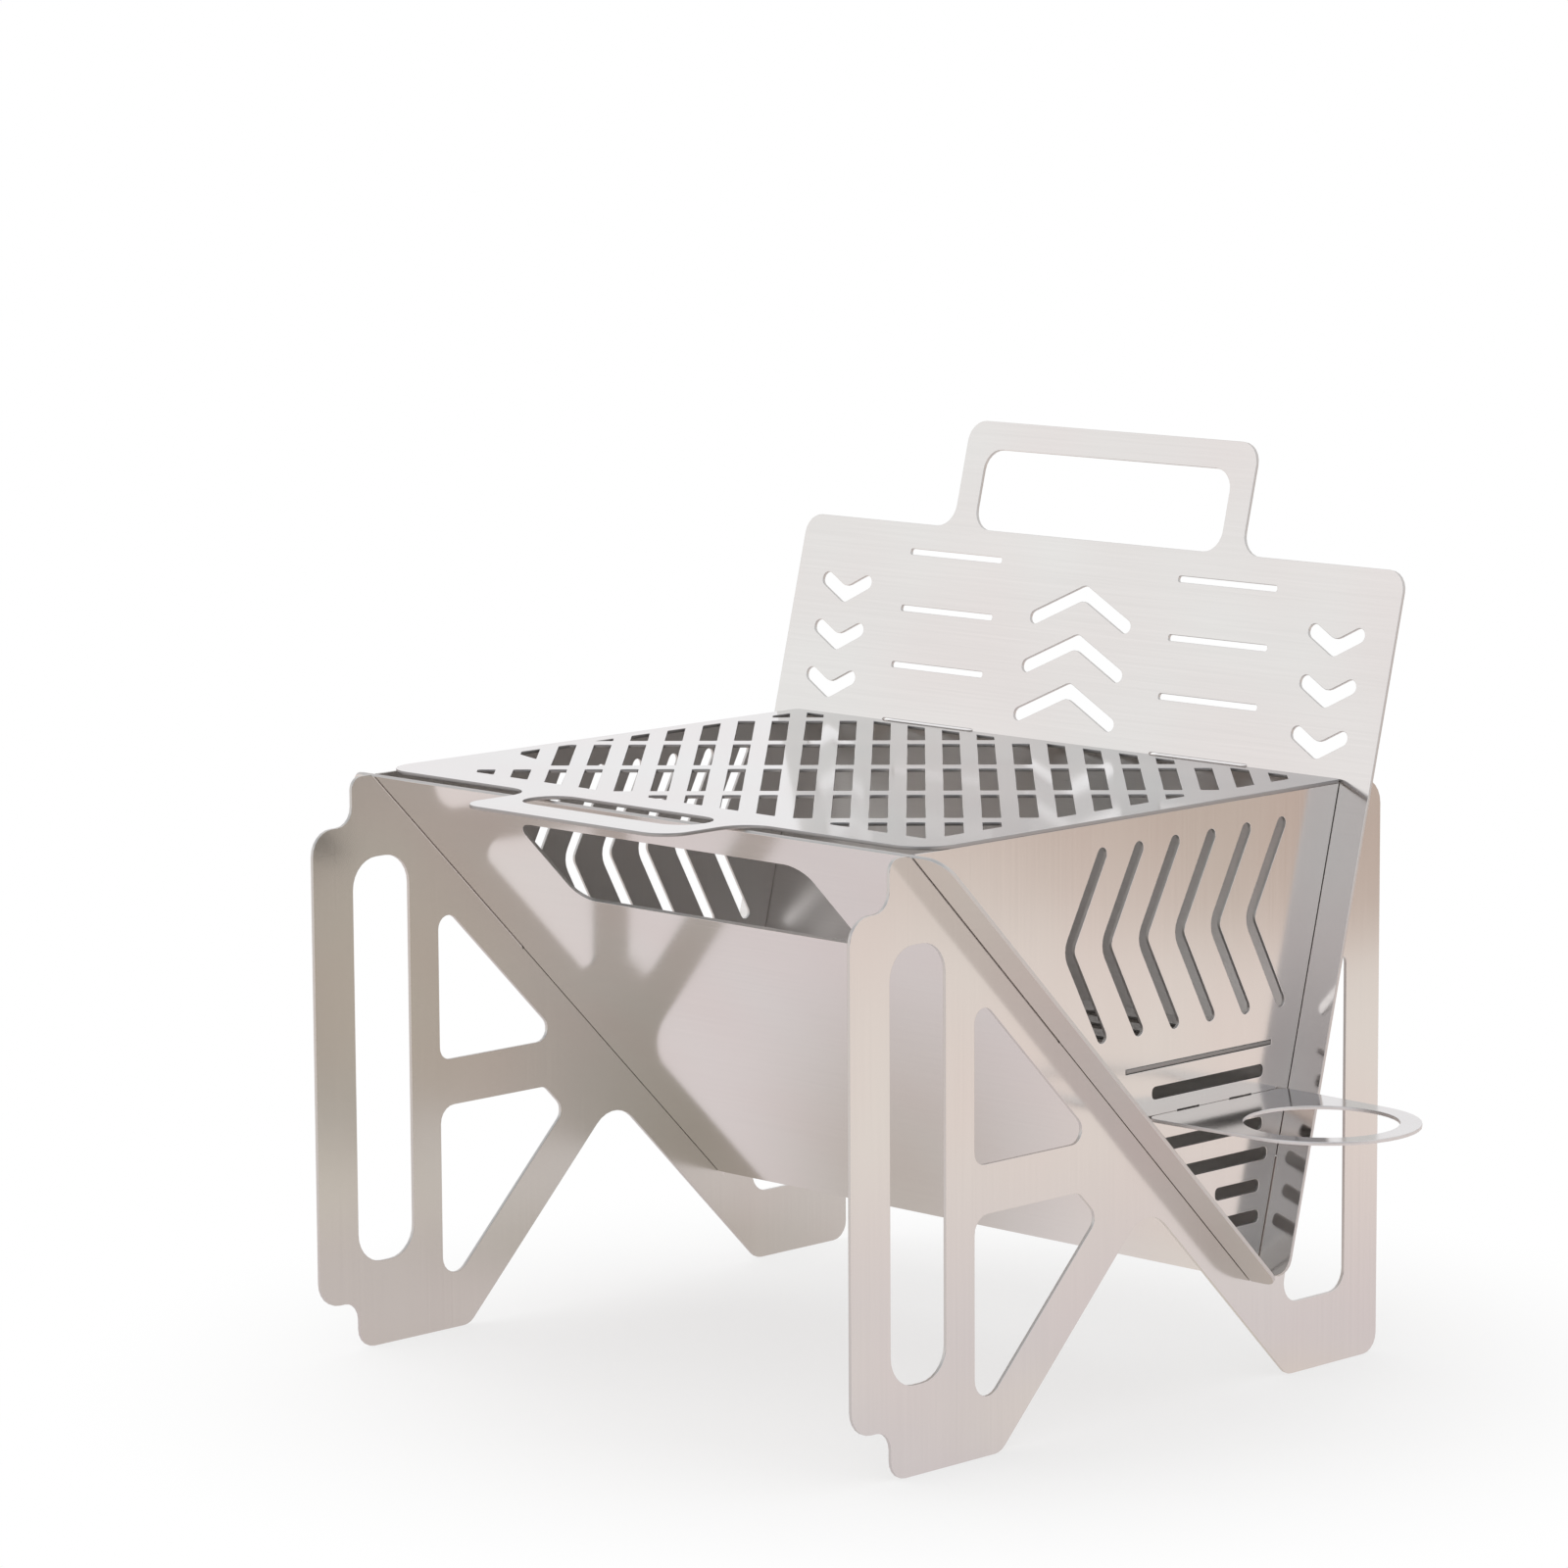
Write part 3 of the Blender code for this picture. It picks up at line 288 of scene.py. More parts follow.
def brushed_steel(name, tone, inner_tone, roughness, grain_turn, cut_share, contrast, wave_depth):
    """Brushed stainless steel whose grain runs along the mapped X axis. The
    walls that the laser left are darker and rougher. The inner side has its
    own tone and roughness; on the end plates that tone is a darker painted
    shade. Inside the fire chamber the inner side takes a painted shade tone
    and a roughness of its own. A thin sheet is never quite flat, so slow waves
    bend what it mirrors. The roughness is a pair for the outer and inner
    side, and the contrast one for the grain and the clouds."""
    material = bpy.data.materials.new(name)
    material.use_nodes = True
    tree = material.node_tree
    shader = tree.nodes["Principled BSDF"]
    shader.inputs["Metallic"].default_value = 1.0
    place = added(tree, "ShaderNodeTexCoord", (-1500, 0))
    turn = added(tree, "ShaderNodeMapping", (-900, 0))
    turn.inputs["Rotation"].default_value = grain_turn
    inner = added(tree, "ShaderNodeAttribute", (-1500, 500), attribute_name=INNER_ATTRIBUTE)
    inside = added(tree, "ShaderNodeGroup", (-1300, 250), node_tree=chamber)
    # Inner faces inside the fire chamber, which take the painted shade tone and the chamber
    # roughness
    chamber_shade_and_roughness = added(tree, "ShaderNodeMath", (-1100, 350), operation="MULTIPLY")
    side_tone = added(tree, "ShaderNodeMix", (-1100, 600), data_type="RGBA")
    side_tone.inputs[MIX_A].default_value = (*tone, 1.0)
    side_tone.inputs[MIX_B].default_value = (*inner_tone, 1.0)
    sheet_tone = added(tree, "ShaderNodeMix", (-900, 500), data_type="RGBA")
    sheet_tone.inputs[MIX_B].default_value = CHAMBER_PAINTED_SHADE
    side_roughness = added(tree, "ShaderNodeMapRange", (-1100, 100))
    side_roughness.inputs["To Min"].default_value = roughness[0]
    side_roughness.inputs["To Max"].default_value = roughness[1]
    sheet_roughness = added(tree, "ShaderNodeMix", (-900, 250), data_type="FLOAT")
    sheet_roughness.inputs["B"].default_value = CHAMBER_ROUGHNESS
    finish = added(tree, "ShaderNodeGroup", (-650, 0), node_tree=brushed)
    finish.inputs["Grain Contrast"].default_value = contrast[0]
    finish.inputs["Cloud Contrast"].default_value = contrast[1]
    scratches = added(tree, "ShaderNodeBump", (-220, -250))
    scratches.inputs["Strength"].default_value = GRAIN_STRENGTH
    scratches.inputs["Distance"].default_value = GRAIN_DEPTH
    wave = added(tree, "ShaderNodeTexNoise", (-650, -400))
    wave.inputs["Scale"].default_value = WAVE_SCALE
    wave.inputs["Detail"].default_value = WAVE_DETAIL
    waves = added(tree, "ShaderNodeBump", (-420, -400))
    waves.inputs["Strength"].default_value = 1.0
    waves.inputs["Distance"].default_value = wave_depth
    cut = added(tree, "ShaderNodeAttribute", (-650, 350), attribute_name=CUT_ATTRIBUTE)
    darker = added(tree, "ShaderNodeMapRange", (-420, 350))
    darker.inputs["To Min"].default_value = 1.0
    darker.inputs["To Max"].default_value = cut_share
    shaded = added(tree, "ShaderNodeVectorMath", (-220, 150), operation="SCALE")
    rougher = added(tree, "ShaderNodeMix", (-220, -50), data_type="FLOAT")
    rougher.inputs["B"].default_value = CUT_ROUGHNESS
    link = tree.links.new
    link(place.outputs["Object"], inside.inputs["Vector"])
    link(inner.outputs["Fac"], chamber_shade_and_roughness.inputs[0])
    link(inside.outputs["Inside"], chamber_shade_and_roughness.inputs[1])
    link(inner.outputs["Fac"], side_tone.inputs["Factor"])
    link(side_tone.outputs[MIX_RESULT], sheet_tone.inputs[MIX_A])
    link(chamber_shade_and_roughness.outputs[0], sheet_tone.inputs["Factor"])
    link(inner.outputs["Fac"], side_roughness.inputs["Value"])
    link(side_roughness.outputs["Result"], sheet_roughness.inputs["A"])
    link(chamber_shade_and_roughness.outputs[0], sheet_roughness.inputs["Factor"])
    link(sheet_tone.outputs[MIX_RESULT], finish.inputs["Tone"])
    link(sheet_roughness.outputs["Result"], finish.inputs["Roughness"])
    link(place.outputs["Object"], turn.inputs["Vector"])
    link(turn.outputs["Vector"], finish.inputs["Vector"])
    link(cut.outputs["Fac"], darker.inputs["Value"])
    link(finish.outputs["Color"], shaded.inputs[0])
    link(darker.outputs["Result"], shaded.inputs["Scale"])
    link(cut.outputs["Fac"], rougher.inputs["Factor"])
    link(finish.outputs["Roughness"], rougher.inputs["A"])
    link(shaded.outputs["Vector"], shader.inputs["Base Color"])
    link(rougher.outputs["Result"], shader.inputs["Roughness"])
    link(place.outputs["Object"], wave.inputs["Vector"])
    link(wave.outputs["Fac"], waves.inputs["Height"])
    link(waves.outputs["Normal"], scratches.inputs["Normal"])
    link(finish.outputs["Height"], scratches.inputs["Height"])
    link(scratches.outputs["Normal"], shader.inputs["Normal"])
    return material


END_PLATE_TONE = (0.715, 0.695, 0.67)
# The inner side is darker than the outer side: painted shade
END_PLATE_INNER_PAINTED_SHADE = (0.625, 0.612, 0.565)
END_PLATE_ROUGHNESS = (0.14, 0.21)
END_PLATE_CUT_SHARE = 0.86
END_PLATE_CONTRAST = (0.07, 0.06)
END_PLATE_WAVE = 0.0005
UPRIGHT_GRAIN = (0.0, math.radians(90.0), 0.0)
end_plate_steel = brushed_steel(
    "end_plate_steel",
    END_PLATE_TONE,
    END_PLATE_INNER_PAINTED_SHADE,
    END_PLATE_ROUGHNESS,
    UPRIGHT_GRAIN,
    END_PLATE_CUT_SHARE,
    END_PLATE_CONTRAST,
    END_PLATE_WAVE,
)
for side, inward in (("left", (1.0, 0.0, 0.0)), ("right", (-1.0, 0.0, 0.0))):
    plate = deburred_sheet(side + "_side_sheet", side + "_end_plate", "base", inward)
    plate.data.materials.append(end_plate_steel)


# Front panel
# The front wall leans back over the ash space. It is one flat laser-cut sheet
# of the same stainless steel, with a rounded fuel opening. Two slits in its
# lower edge straddle the end plates.
FRONT_WALL_TONE = (0.715, 0.695, 0.67)
FRONT_WALL_ROUGHNESS = (0.12, 0.12)
FRONT_WALL_CUT_SHARE = 0.86
FRONT_WALL_CONTRAST = (0.06, 0.04)
FRONT_WALL_WAVE = 0.00012
LEVEL_GRAIN = (0.0, 0.0, 0.0)
wall_steel = brushed_steel(
    "front_wall_steel",
    FRONT_WALL_TONE,
    FRONT_WALL_TONE,
    FRONT_WALL_ROUGHNESS,
    LEVEL_GRAIN,
    FRONT_WALL_CUT_SHARE,
    FRONT_WALL_CONTRAST,
    FRONT_WALL_WAVE,
)
front_wall = deburred_sheet("front_wall_sheet", "front_panel", "front_wall", FRONT_WALL_NORMAL)
front_wall.data.materials.append(wall_steel)


# Rear panel
# Back wall, splash guard and carry handle in one laser-cut stainless sheet,
# with bent vents and thin slots. Two slits in its lower edge straddle the end
# plates, and the grate's tabs pass through the lowest slots.
REAR_WALL_TONE = (0.755, 0.73, 0.705)
REAR_WALL_ROUGHNESS = (0.13, 0.13)
REAR_WALL_CUT_SHARE = 0.80
REAR_WALL_CONTRAST = (0.10, 0.08)
REAR_WALL_WAVE = 0.0004
rear_steel = brushed_steel(
    "rear_wall_steel",
    REAR_WALL_TONE,
    REAR_WALL_TONE,
    REAR_WALL_ROUGHNESS,
    LEVEL_GRAIN,
    REAR_WALL_CUT_SHARE,
    REAR_WALL_CONTRAST,
    REAR_WALL_WAVE,
)
rear_wall = deburred_sheet("rear_wall_sheet", "rear_panel", "rear_wall", REAR_WALL_NORMAL)
rear_wall.data.materials.append(rear_steel)


# Grill grate
# A flat cooking grate of the same stainless sheet, with a laser-cut lattice of
# long slanting slots. It lies loose on the end plates, with a pull in front and
# two tabs behind that sit in the rear wall's slots.
GRATE_TONE = (0.75, 0.735, 0.725)
GRATE_ROUGHNESS = (0.10, 0.10)
GRATE_CUT_SHARE = 0.50
GRATE_CONTRAST = (0.06, 0.05)
GRATE_WAVE = 0.0002
DOWN = (0.0, 0.0, -1.0)

# The visible lattice has the solid's slots, but it reaches closer to the left
# and rear edges, and it leaves the left corner plain.
SLOT_TURN = math.radians(43.7)
SLOT_WIDTH = 0.006
SLOT_LENGTH = 0.0497
SLOT_BAR = 0.006
SLOT_CROSSBAR = 0.0085
SLOT_ROW_OFFSET = 0.0161
SLOT_ROUND = 0.0008
LONGEST_ROUND_SHARE = 0.4
SLOT_LEFT_REACH = 0.0059
SLOT_REAR_REACH = 0.0048
SMALLEST_SLOT = 0.000008
PLAIN_PATCH = Vector((-0.1455, -0.0660))
PLAIN_REACH = 0.0215


def rim_loops(mesh):
    """The closed rims round the upper face of a flat sheet, as lists of (x, y)."""
    following = {}
    for face in mesh.faces:
        if face.normal.z < FACE_ALIGNED:
            continue
        for corner in face.loops:
            beside = corner.link_loop_radial_next.face
            if beside.normal.z < CUT_WALL_ALIGNED:
                following[corner.vert.index] = corner.link_loop_next.vert.index
    loops = []
    while following:
        first, here = following.popitem()
        loop = [first]
        while here != first:
            loop.append(here)
            here = following.pop(here)
        loops.append([tuple(mesh.verts[k].co.xy) for k in loop])
    return loops


def kept_side(points, inward, limit):
    """The part of a polygon on the inner side of a line."""
    kept = []
    for here, ahead in zip(points, points[1:] + points[:1]):
        depth = here.dot(inward) - limit
        depth_ahead = ahead.dot(inward) - limit
        if depth >= 0.0:
            kept.append(here)
        if (depth < 0.0) != (depth_ahead < 0.0):
            kept.append(here.lerp(ahead, depth / (depth - depth_ahead)))
    return kept


def flat_area(points):
    """Area of a flat polygon."""
    pairs = zip(points, points[1:] + points[:1])
    return abs(sum(a.x * b.y - b.x * a.y for a, b in pairs)) / 2.0


def softened(points):
    """A polygon with small round corners, each one drawn by the two ends and
    the middle of a short curve."""
    soft = []
    for before, here, ahead in zip(points[-1:] + points[:-1], points, points[1:] + points[:1]):
        back = before - here
        on = ahead - here
        start = here + back.normalized() * min(SLOT_ROUND, back.length * LONGEST_ROUND_SHARE)
        end = here + on.normalized() * min(SLOT_ROUND, on.length * LONGEST_ROUND_SHARE)
        soft += [start, (start + here * 2.0 + end) / 4.0, end]
    return soft


def lattice(left, near, right, far):
    """Long slots in slanting rows, as lists of points. The rectangle that the
    solid's slots fill sets where the rows lie, and the slots go on past it to
    the left and rear. Slots are cut short round the plain corner patch, and
    slivers are left out."""
    middle = Vector(((left + right) / 2.0, (near + far) / 2.0))
    across = Vector((math.cos(SLOT_TURN), math.sin(SLOT_TURN)))
    along = Vector((-across.y, across.x))
    reach = (Vector((right, far)) - middle).length
    columns = int(reach / (SLOT_WIDTH + SLOT_BAR)) + 2
    rows = int(reach / (SLOT_LENGTH + SLOT_CROSSBAR)) + 2
    limits = (
        (Vector((1.0, 0.0)), left - SLOT_LEFT_REACH),
        (Vector((-1.0, 0.0)), -right),
        (Vector((0.0, 1.0)), near),
        (Vector((0.0, -1.0)), -far - SLOT_REAR_REACH),
    )
    slots = []
    for column in range(-columns, columns):
        for row in range(-rows, rows + 1):
            centre = middle + across * ((column + 0.5) * (SLOT_WIDTH + SLOT_BAR))
            centre += along * (row * (SLOT_LENGTH + SLOT_CROSSBAR) - SLOT_ROW_OFFSET)
            slot = []
            for side, end in ((-1.0, -1.0), (1.0, -1.0), (1.0, 1.0), (-1.0, 1.0)):
                corner = centre + across * (side * SLOT_WIDTH / 2.0)
                slot.append(corner + along * (end * SLOT_LENGTH / 2.0))
            for inward, limit in limits:
                slot = kept_side(slot, inward, limit)
            offset = sum(slot, Vector((0.0, 0.0))) / max(len(slot), 1) - PLAIN_PATCH
            if offset.length < PLAIN_REACH:
                inward = offset.normalized()
                slot = kept_side(slot, inward, inward.dot(PLAIN_PATCH) + PLAIN_REACH)
            if len(slot) >= 3 and flat_area(slot) >= SMALLEST_SLOT:
                slots.append(softened(slot))
    return slots


def grate_blank(node):
    """The grate's blank as a mesh: the solid's outline and finger slot, which
    are its two widest rims, with the visible lattice."""
    solid = bmesh.new()
    solid.from_mesh(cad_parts[node].data)
    bmesh.ops.remove_doubles(solid, verts=solid.verts[:], dist=LOOSE_VERTEX_REACH)
    solid.normal_update()
    solid.verts.ensure_lookup_table()
    top = max(corner.co.z for corner in solid.verts)
    bottom = min(corner.co.z for corner in solid.verts)
    loops = rim_loops(solid)
    solid.free()
    loops.sort(key=lambda loop: max(x for x, y in loop) - min(x for x, y in loop), reverse=True)
    outline, finger_slot = loops[:2]
    xs = [x for loop in loops[2:] for x, y in loop]
    ys = [y for loop in loops[2:] for x, y in loop]
    slots = lattice(min(xs), min(ys), max(xs), max(ys))
    sheet = bmesh.new()
    rims = []
    for loop in (outline, finger_slot, *slots):
        upper = [sheet.verts.new((point[0], point[1], top)) for point in loop]
        lower = [sheet.verts.new((point[0], point[1], bottom)) for point in loop]
        rims.append((upper, lower))
    under = {}
    edges = []
    for upper, lower in rims:
        for k, corner in enumerate(upper):
            under[corner] = lower[k]
            edges.append(sheet.edges.new((upper[k - 1], corner)))
    bmesh.ops.triangle_fill(sheet, use_beauty=True, edges=edges)
    for face in sheet.faces[:]:
        sheet.faces.new([under[corner] for corner in reversed(face.verts)])
    for upper, lower in rims:
        for k, corner in enumerate(upper):
            sheet.faces.new((upper[k - 1], corner, lower[k], lower[k - 1]))
    bmesh.ops.recalc_face_normals(sheet, faces=sheet.faces[:])
    blank = bpy.data.meshes.new("grill_blank")
    sheet.to_mesh(blank)
    sheet.free()
    return blank


grate_steel = brushed_steel(
    "grate_steel",
    GRATE_TONE,
    GRATE_TONE,
    GRATE_ROUGHNESS,
    LEVEL_GRAIN,
    GRATE_CUT_SHARE,
    GRATE_CONTRAST,
    GRATE_WAVE,
)
grill_sheet = grate_blank("grill_grate")
grill = deburred_sheet("grill_sheet", "grill_grate", "grate", DOWN, grill_sheet)
bpy.data.meshes.remove(grill_sheet)
grill.data.materials.append(grate_steel)


# Fire grate
# The slotted sheet that the fire lies on, of the same stainless steel in a
# darker tone. Its two ends sit in thin slots of the end plates.
FIRE_GRATE_TONE = (0.62, 0.60, 0.58)
FIRE_GRATE_ROUGHNESS = (0.22, 0.22)
FIRE_GRATE_CUT_SHARE = 0.50
FIRE_GRATE_CONTRAST = (0.08, 0.10)
FIRE_GRATE_WAVE = 0.0003
fire_grate_steel = brushed_steel(
    "fire_grate_steel",
    FIRE_GRATE_TONE,
    FIRE_GRATE_TONE,
    FIRE_GRATE_ROUGHNESS,
    LEVEL_GRAIN,
    FIRE_GRATE_CUT_SHARE,
    FIRE_GRATE_CONTRAST,
    FIRE_GRATE_WAVE,
)
fire = deburred_sheet("fire_sheet", "fire_grate", "base", DOWN)
fire.data.materials.append(fire_grate_steel)


# Ring holder
# A flat side shelf of the same sheet, with a round hole for a cup. Two tabs
# pushed through thin slots hold it in the right end plate.
HOLDER_TONE = (0.72, 0.715, 0.71)
HOLDER_ROUGHNESS = (0.12, 0.12)
HOLDER_CUT_SHARE = 0.95
HOLDER_CONTRAST = (0.06, 0.04)
HOLDER_WAVE = 0.0002
holder_steel = brushed_steel(
    "holder_steel",
    HOLDER_TONE,
    HOLDER_TONE,
    HOLDER_ROUGHNESS,
    LEVEL_GRAIN,
    HOLDER_CUT_SHARE,
    HOLDER_CONTRAST,
    HOLDER_WAVE,
)
ring = deburred_sheet("ring_sheet", "ring_holder", "side_ring", DOWN)
ring.data.materials.append(holder_steel)


# Studio
# A white round floor that fades into a white room, with two large soft lamps.
# The sheets mirror it with soft tints: a dimmer floor near the stove, which is
# painted shadow, a tan area far behind it, and four soft spots under and
# beside it, which are painted shadows and painted pools of light.
FLOOR_RADIUS = 3.0
FLOOR_SEGMENTS = 96
FLOOR_TONE = (0.93, 0.925, 0.92, 1.0)
FLOOR_DROP = 0.0001
WHITE = (1.0, 1.0, 1.0, 1.0)
SEEN_FADE = (0.10, 0.30)
SEEN_GLOW_NEAR = 0.58
GLOW_RISE = (0.12, 0.60)
TAN = (0.66, 0.515, 0.44, 1.0)
TAN_FAR = (0.88, 1.06)
TAN_SIDE_SLOPE = (-0.6, 1.0, 0.0)
TAN_SIDE = (0.08, 0.42)
# Painted shadow: the mirrored floor is dimmer and pinker near the stove than far from it
NEAR_GLOW = (0.88, 0.81, 0.83, 1.0)
FAR_GLOW = (1.03, 0.93, 0.88, 1.0)
MIRRORED_SHARE = 0.85
# Painted shadows and painted pools of light on the mirrored floor, each with
# its place, reach and tint: the first and third darken it, the second and
# fourth lighten it
FLOOR_SHADOWS_AND_LIGHT_POOLS = (
    ((-0.100, 0.065, 0.0), 0.10, (0.74, 0.74, 0.68, 1.0)),
    ((0.07, 0.03, 0.0), 0.13, (1.14, 1.14, 1.02, 1.0)),
    ((0.135, 0.065, 0.0), 0.05, (0.82, 0.82, 0.82, 1.0)),
    ((0.255, -0.07, 0.0), 0.13, (1.13, 1.12, 1.06, 1.0)),
)
floor_mesh = bmesh.new()
bmesh.ops.create_circle(floor_mesh, cap_ends=True, segments=FLOOR_SEGMENTS, radius=FLOOR_RADIUS)
bmesh.ops.translate(floor_mesh, vec=(0.0, 0.0, -FLOOR_DROP), verts=floor_mesh.verts[:])
floor_data = bpy.data.meshes.new("studio_floor")
floor_mesh.to_mesh(floor_data)
floor_mesh.free()
floor = bpy.data.objects.new("studio_floor", floor_data)
bpy.context.collection.objects.link(floor)

floor_paint = bpy.data.materials.new("studio_floor_paint")
floor_paint.use_nodes = True
floor_tree = floor_paint.node_tree
floor_tree.nodes.clear()
matt = added(floor_tree, "ShaderNodeBsdfDiffuse", (0, 100))
matt.inputs["Color"].default_value = FLOOR_TONE
seen_glow = added(floor_tree, "ShaderNodeEmission", (0, -50))
seen_glow.inputs["Color"].default_value = WHITE
seen_glow.inputs["Strength"].default_value = 1.0
mirrored_glow = added(floor_tree, "ShaderNodeEmission", (0, -250))
rays = added(floor_tree, "ShaderNodeLightPath", (-900, 500))
spot = added(floor_tree, "ShaderNodeTexCoord", (-1200, 0))
spread = added(floor_tree, "ShaderNodeVectorMath", (-1000, 0), operation="LENGTH")
seen_fade = soft_rise(floor_tree, (-700, 200), *SEEN_FADE)
seen_fade.inputs["To Min"].default_value = SEEN_GLOW_NEAR
glow_rise = soft_rise(floor_tree, (-900, -50), *GLOW_RISE)
glow_tone = added(floor_tree, "ShaderNodeMix", (-650, -100), data_type="RGBA")
glow_tone.inputs[MIX_A].default_value = NEAR_GLOW
glow_tone.inputs[MIX_B].default_value = FAR_GLOW
tan_far = soft_rise(floor_tree, (-900, -300), *TAN_FAR)
slope = added(floor_tree, "ShaderNodeVectorMath", (-1100, -550), operation="DOT_PRODUCT")
slope.inputs[1].default_value = TAN_SIDE_SLOPE
tan_side = soft_rise(floor_tree, (-900, -550), *TAN_SIDE)
tan_mask = added(floor_tree, "ShaderNodeMath", (-650, -400), operation="MULTIPLY")
tan_tone = added(floor_tree, "ShaderNodeMix", (-450, -250), data_type="RGBA")
tan_tone.inputs[MIX_B].default_value = TAN
wire = floor_tree.links.new
spot_tone = tan_tone
# Each painted shadow and pool of light multiplies the mirrored floor's colour
for centre, reach, tint in FLOOR_SHADOWS_AND_LIGHT_POOLS:
    distance = added(floor_tree, "ShaderNodeVectorMath", (-900, -800), operation="DISTANCE")
    distance.inputs[1].default_value = centre
    nearness = soft_rise(floor_tree, (-700, -800), reach, 0.0)
    tinted_spot = added(floor_tree, "ShaderNodeMix", (-250, -400), data_type="RGBA")
    tinted_spot.blend_type = "MULTIPLY"
    tinted_spot.inputs[MIX_B].default_value = tint
    wire(spot.outputs["Object"], distance.inputs[0])
    wire(distance.outputs["Value"], nearness.inputs["Value"])
    wire(nearness.outputs["Result"], tinted_spot.inputs["Factor"])
    wire(spot_tone.outputs[MIX_RESULT], tinted_spot.inputs[MIX_A])
    spot_tone = tinted_spot
seen_share = added(floor_tree, "ShaderNodeMath", (-400, 400), operation="MULTIPLY")
mirrored_share = added(floor_tree, "ShaderNodeMath", (-400, 600), operation="MULTIPLY")
mirrored_share.inputs[1].default_value = MIRRORED_SHARE
seen_mix = added(floor_tree, "ShaderNodeMixShader", (200, 100))
mirrored_mix = added(floor_tree, "ShaderNodeMixShader", (400, 100))
out = added(floor_tree, "ShaderNodeOutputMaterial", (600, 100))
wire(spot.outputs["Object"], spread.inputs[0])
wire(spread.outputs["Value"], seen_fade.inputs["Value"])
wire(spread.outputs["Value"], glow_rise.inputs["Value"])
wire(glow_rise.outputs["Result"], glow_tone.inputs["Factor"])
wire(spread.outputs["Value"], tan_far.inputs["Value"])
wire(spot.outputs["Object"], slope.inputs[0])
wire(slope.outputs["Value"], tan_side.inputs["Value"])
wire(tan_far.outputs["Result"], tan_mask.inputs[0])
wire(tan_side.outputs["Result"], tan_mask.inputs[1])
wire(tan_mask.outputs[0], tan_tone.inputs["Factor"])
wire(glow_tone.outputs[MIX_RESULT], tan_tone.inputs[MIX_A])
wire(spot_tone.outputs[MIX_RESULT], mirrored_glow.inputs["Color"])
wire(rays.outputs["Is Camera Ray"], seen_share.inputs[0])
wire(seen_fade.outputs["Result"], seen_share.inputs[1])
wire(rays.outputs["Is Glossy Ray"], mirrored_share.inputs[0])
wire(seen_share.outputs[0], seen_mix.inputs["Fac"])
wire(matt.outputs["BSDF"], seen_mix.inputs[1])
wire(seen_glow.outputs["Emission"], seen_mix.inputs[2])
wire(mirrored_share.outputs[0], mirrored_mix.inputs["Fac"])
wire(seen_mix.outputs["Shader"], mirrored_mix.inputs[1])
wire(mirrored_glow.outputs["Emission"], mirrored_mix.inputs[2])
wire(mirrored_mix.outputs["Shader"], out.inputs["Surface"])
floor_data.materials.append(floor_paint)

# The room: a plain light for matt surfaces and white to the camera. Mirrors see
# it a little brighter and cooler in front, dimmer at the front right, duller
# high up in front, and with a dark card low at the front right.
ROOM_LIGHT = 0.8
FRONTNESS = (0.2, -0.4)
RIGHTNESS = (-0.2, 0.5)
MIRRORED_BACK = (0.96, 0.955, 0.965, 1.0)
MIRRORED_FRONT = (1.03, 1.03, 1.045, 1.0)
MIRRORED_FRONT_RIGHT = (0.88, 0.90, 0.95, 1.0)
DARK_CARD = (0.08, 0.082, 0.088, 1.0)
CARD_EDGE = (0.203, 0.145)
CARD_LOWEST = -0.02
CARD_RIGHT = (0.45, 0.58)
HIGH_FRONT = (0.44, 0.53)
HIGH_FRONT_TINT = (0.60, 0.63, 0.66, 1.0)
world = bpy.data.worlds.new("studio_room")
bpy.context.scene.world = world
world.use_nodes = True
room_tree = world.node_tree
room_tree.nodes.clear()
room = added(room_tree, "ShaderNodeBackground", (0, 100))
room.inputs["Color"].default_value = WHITE
room.inputs["Strength"].default_value = ROOM_LIGHT
seen_room = added(room_tree, "ShaderNodeBackground", (0, -50))
seen_room.inputs["Color"].default_value = WHITE
seen_room.inputs["Strength"].default_value = 1.0
mirrored_room = added(room_tree, "ShaderNodeBackground", (0, -200))
room_rays = added(room_tree, "ShaderNodeLightPath", (-600, 400))
room_seen = added(room_tree, "ShaderNodeMath", (-200, 400), operation="MAXIMUM")
gaze = added(room_tree, "ShaderNodeTexCoord", (-1000, -200))
gaze_parts = added(room_tree, "ShaderNodeSeparateXYZ", (-800, -200))
frontness = soft_rise(room_tree, (-600, -200), *FRONTNESS)
room_tone = added(room_tree, "ShaderNodeMix", (-300, -200), data_type="RGBA")
room_tone.inputs[MIX_A].default_value = MIRRORED_BACK
rightness = soft_rise(room_tree, (-600, -450), *RIGHTNESS)
front_tone = added(room_tree, "ShaderNodeMix", (-450, -450), data_type="RGBA")
front_tone.inputs[MIX_A].default_value = MIRRORED_FRONT
front_tone.inputs[MIX_B].default_value = MIRRORED_FRONT_RIGHT
card_below = soft_rise(room_tree, (-600, -700), *CARD_EDGE)
card_above = added(room_tree, "ShaderNodeMath", (-600, -950), operation="GREATER_THAN")
card_above.inputs[1].default_value = CARD_LOWEST
card_side = soft_rise(room_tree, (-600, -1150), *CARD_RIGHT)
card_high = added(room_tree, "ShaderNodeMath", (-400, -800), operation="MULTIPLY")
card_wide = added(room_tree, "ShaderNodeMath", (-250, -900), operation="MULTIPLY")
card = added(room_tree, "ShaderNodeMath", (-100, -800), operation="MULTIPLY")
card_tone = added(room_tree, "ShaderNodeMix", (-100, -450), data_type="RGBA")
card_tone.inputs[MIX_B].default_value = DARK_CARD
high = soft_rise(room_tree, (-600, -1350), *HIGH_FRONT)
high_front = added(room_tree, "ShaderNodeMath", (-400, -1350), operation="MULTIPLY")
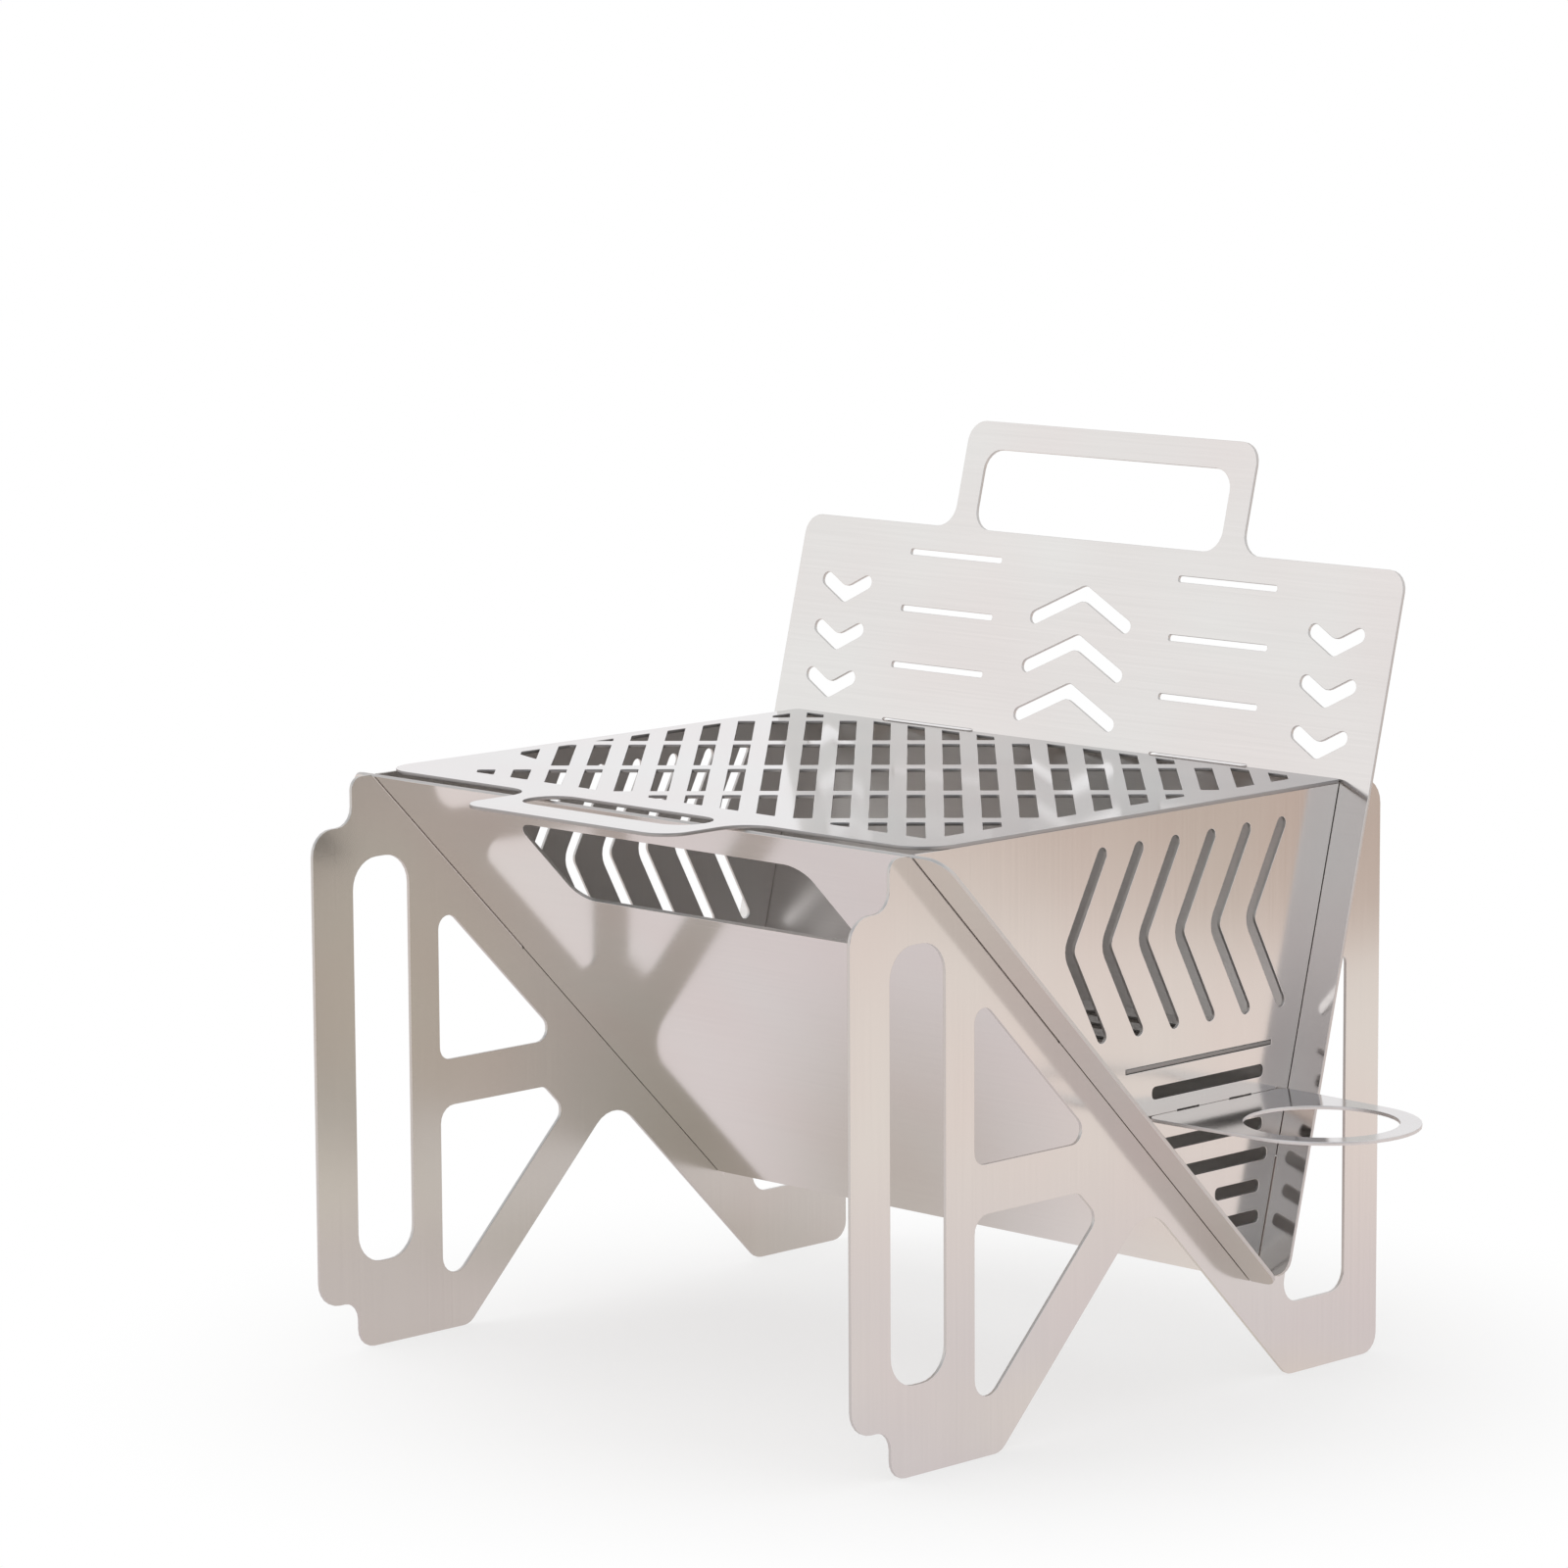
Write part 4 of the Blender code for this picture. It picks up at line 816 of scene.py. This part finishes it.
high_tone = added(room_tree, "ShaderNodeMix", (0, -450), data_type="RGBA", blend_type="MULTIPLY")
high_tone.inputs[MIX_B].default_value = HIGH_FRONT_TINT
room_mix = added(room_tree, "ShaderNodeMixShader", (200, 100))
room_mirrored = added(room_tree, "ShaderNodeMixShader", (400, 100))
room_out = added(room_tree, "ShaderNodeOutputWorld", (600, 100))
wire = room_tree.links.new
wire(gaze.outputs["Generated"], gaze_parts.inputs["Vector"])
wire(gaze_parts.outputs["Y"], frontness.inputs["Value"])
wire(frontness.outputs["Result"], room_tone.inputs["Factor"])
wire(gaze_parts.outputs["X"], rightness.inputs["Value"])
wire(rightness.outputs["Result"], front_tone.inputs["Factor"])
wire(front_tone.outputs[MIX_RESULT], room_tone.inputs[MIX_B])
wire(gaze_parts.outputs["Z"], card_below.inputs["Value"])
wire(gaze_parts.outputs["Z"], card_above.inputs[0])
wire(gaze_parts.outputs["X"], card_side.inputs["Value"])
wire(card_below.outputs["Result"], card_high.inputs[0])
wire(card_above.outputs[0], card_high.inputs[1])
wire(card_side.outputs["Result"], card_wide.inputs[0])
wire(frontness.outputs["Result"], card_wide.inputs[1])
wire(card_high.outputs[0], card.inputs[0])
wire(card_wide.outputs[0], card.inputs[1])
wire(card.outputs[0], card_tone.inputs["Factor"])
wire(room_tone.outputs[MIX_RESULT], card_tone.inputs[MIX_A])
wire(gaze_parts.outputs["Z"], high.inputs["Value"])
wire(high.outputs["Result"], high_front.inputs[0])
wire(frontness.outputs["Result"], high_front.inputs[1])
wire(high_front.outputs[0], high_tone.inputs["Factor"])
wire(card_tone.outputs[MIX_RESULT], high_tone.inputs[MIX_A])
wire(high_tone.outputs[MIX_RESULT], mirrored_room.inputs["Color"])
wire(room_rays.outputs["Is Camera Ray"], room_seen.inputs[0])
wire(room_rays.outputs["Is Transmission Ray"], room_seen.inputs[1])
wire(room_seen.outputs[0], room_mix.inputs["Fac"])
wire(room.outputs["Background"], room_mix.inputs[1])
wire(seen_room.outputs["Background"], room_mix.inputs[2])
wire(room_rays.outputs["Is Glossy Ray"], room_mirrored.inputs["Fac"])
wire(room_mix.outputs["Shader"], room_mirrored.inputs[1])
wire(mirrored_room.outputs["Background"], room_mirrored.inputs[2])
wire(room_mirrored.outputs["Shader"], room_out.inputs["Surface"])

# Two large soft lamps, each with its name, place, size and power. Mirrors don't
# see them.
LAMPS = (
    ("top_lamp", (-0.3, -0.4, 1.6), 1.2, 3.0),
    ("side_lamp", (-1.4, -0.9, 0.9), 0.9, 2.0),
)
for lamp_name, lamp_place, lamp_size, lamp_power in LAMPS:
    lamp_data = bpy.data.lights.new(lamp_name, "AREA")
    lamp_data.shape = "SQUARE"
    lamp_data.size = lamp_size
    lamp_data.energy = lamp_power
    lamp = bpy.data.objects.new(lamp_name, lamp_data)
    lamp.location = lamp_place
    lamp.rotation_euler = (-Vector(lamp_place)).to_track_quat("-Z", "Y").to_euler()
    lamp.visible_glossy = False
    bpy.context.collection.objects.link(lamp)


# Camera
# A long lens from the front right, a little above the grate.
CAMERA_PLACE = (1.37438, -1.43744, 0.49577)
CAMERA_AZIMUTH = math.radians(44.9986)
CAMERA_ELEVATION = math.radians(8.5231)
CAMERA_ROLL = math.radians(0.3245)
LENS = 140.2195
SENSOR_WIDTH = 36.0
camera_data = bpy.data.cameras.new("studio_camera")
camera_data.sensor_width = SENSOR_WIDTH
camera_data.lens = LENS
camera = bpy.data.objects.new("studio_camera", camera_data)
aim = Matrix.Rotation(CAMERA_AZIMUTH, 4, "Z")
aim @= Matrix.Rotation(math.radians(90.0) - CAMERA_ELEVATION, 4, "X")
aim @= Matrix.Rotation(-CAMERA_ROLL, 4, "Z")
camera.matrix_world = Matrix.Translation(CAMERA_PLACE) @ aim
bpy.context.collection.objects.link(camera)
bpy.context.scene.camera = camera
bpy.context.scene.view_settings.view_transform = "Standard"
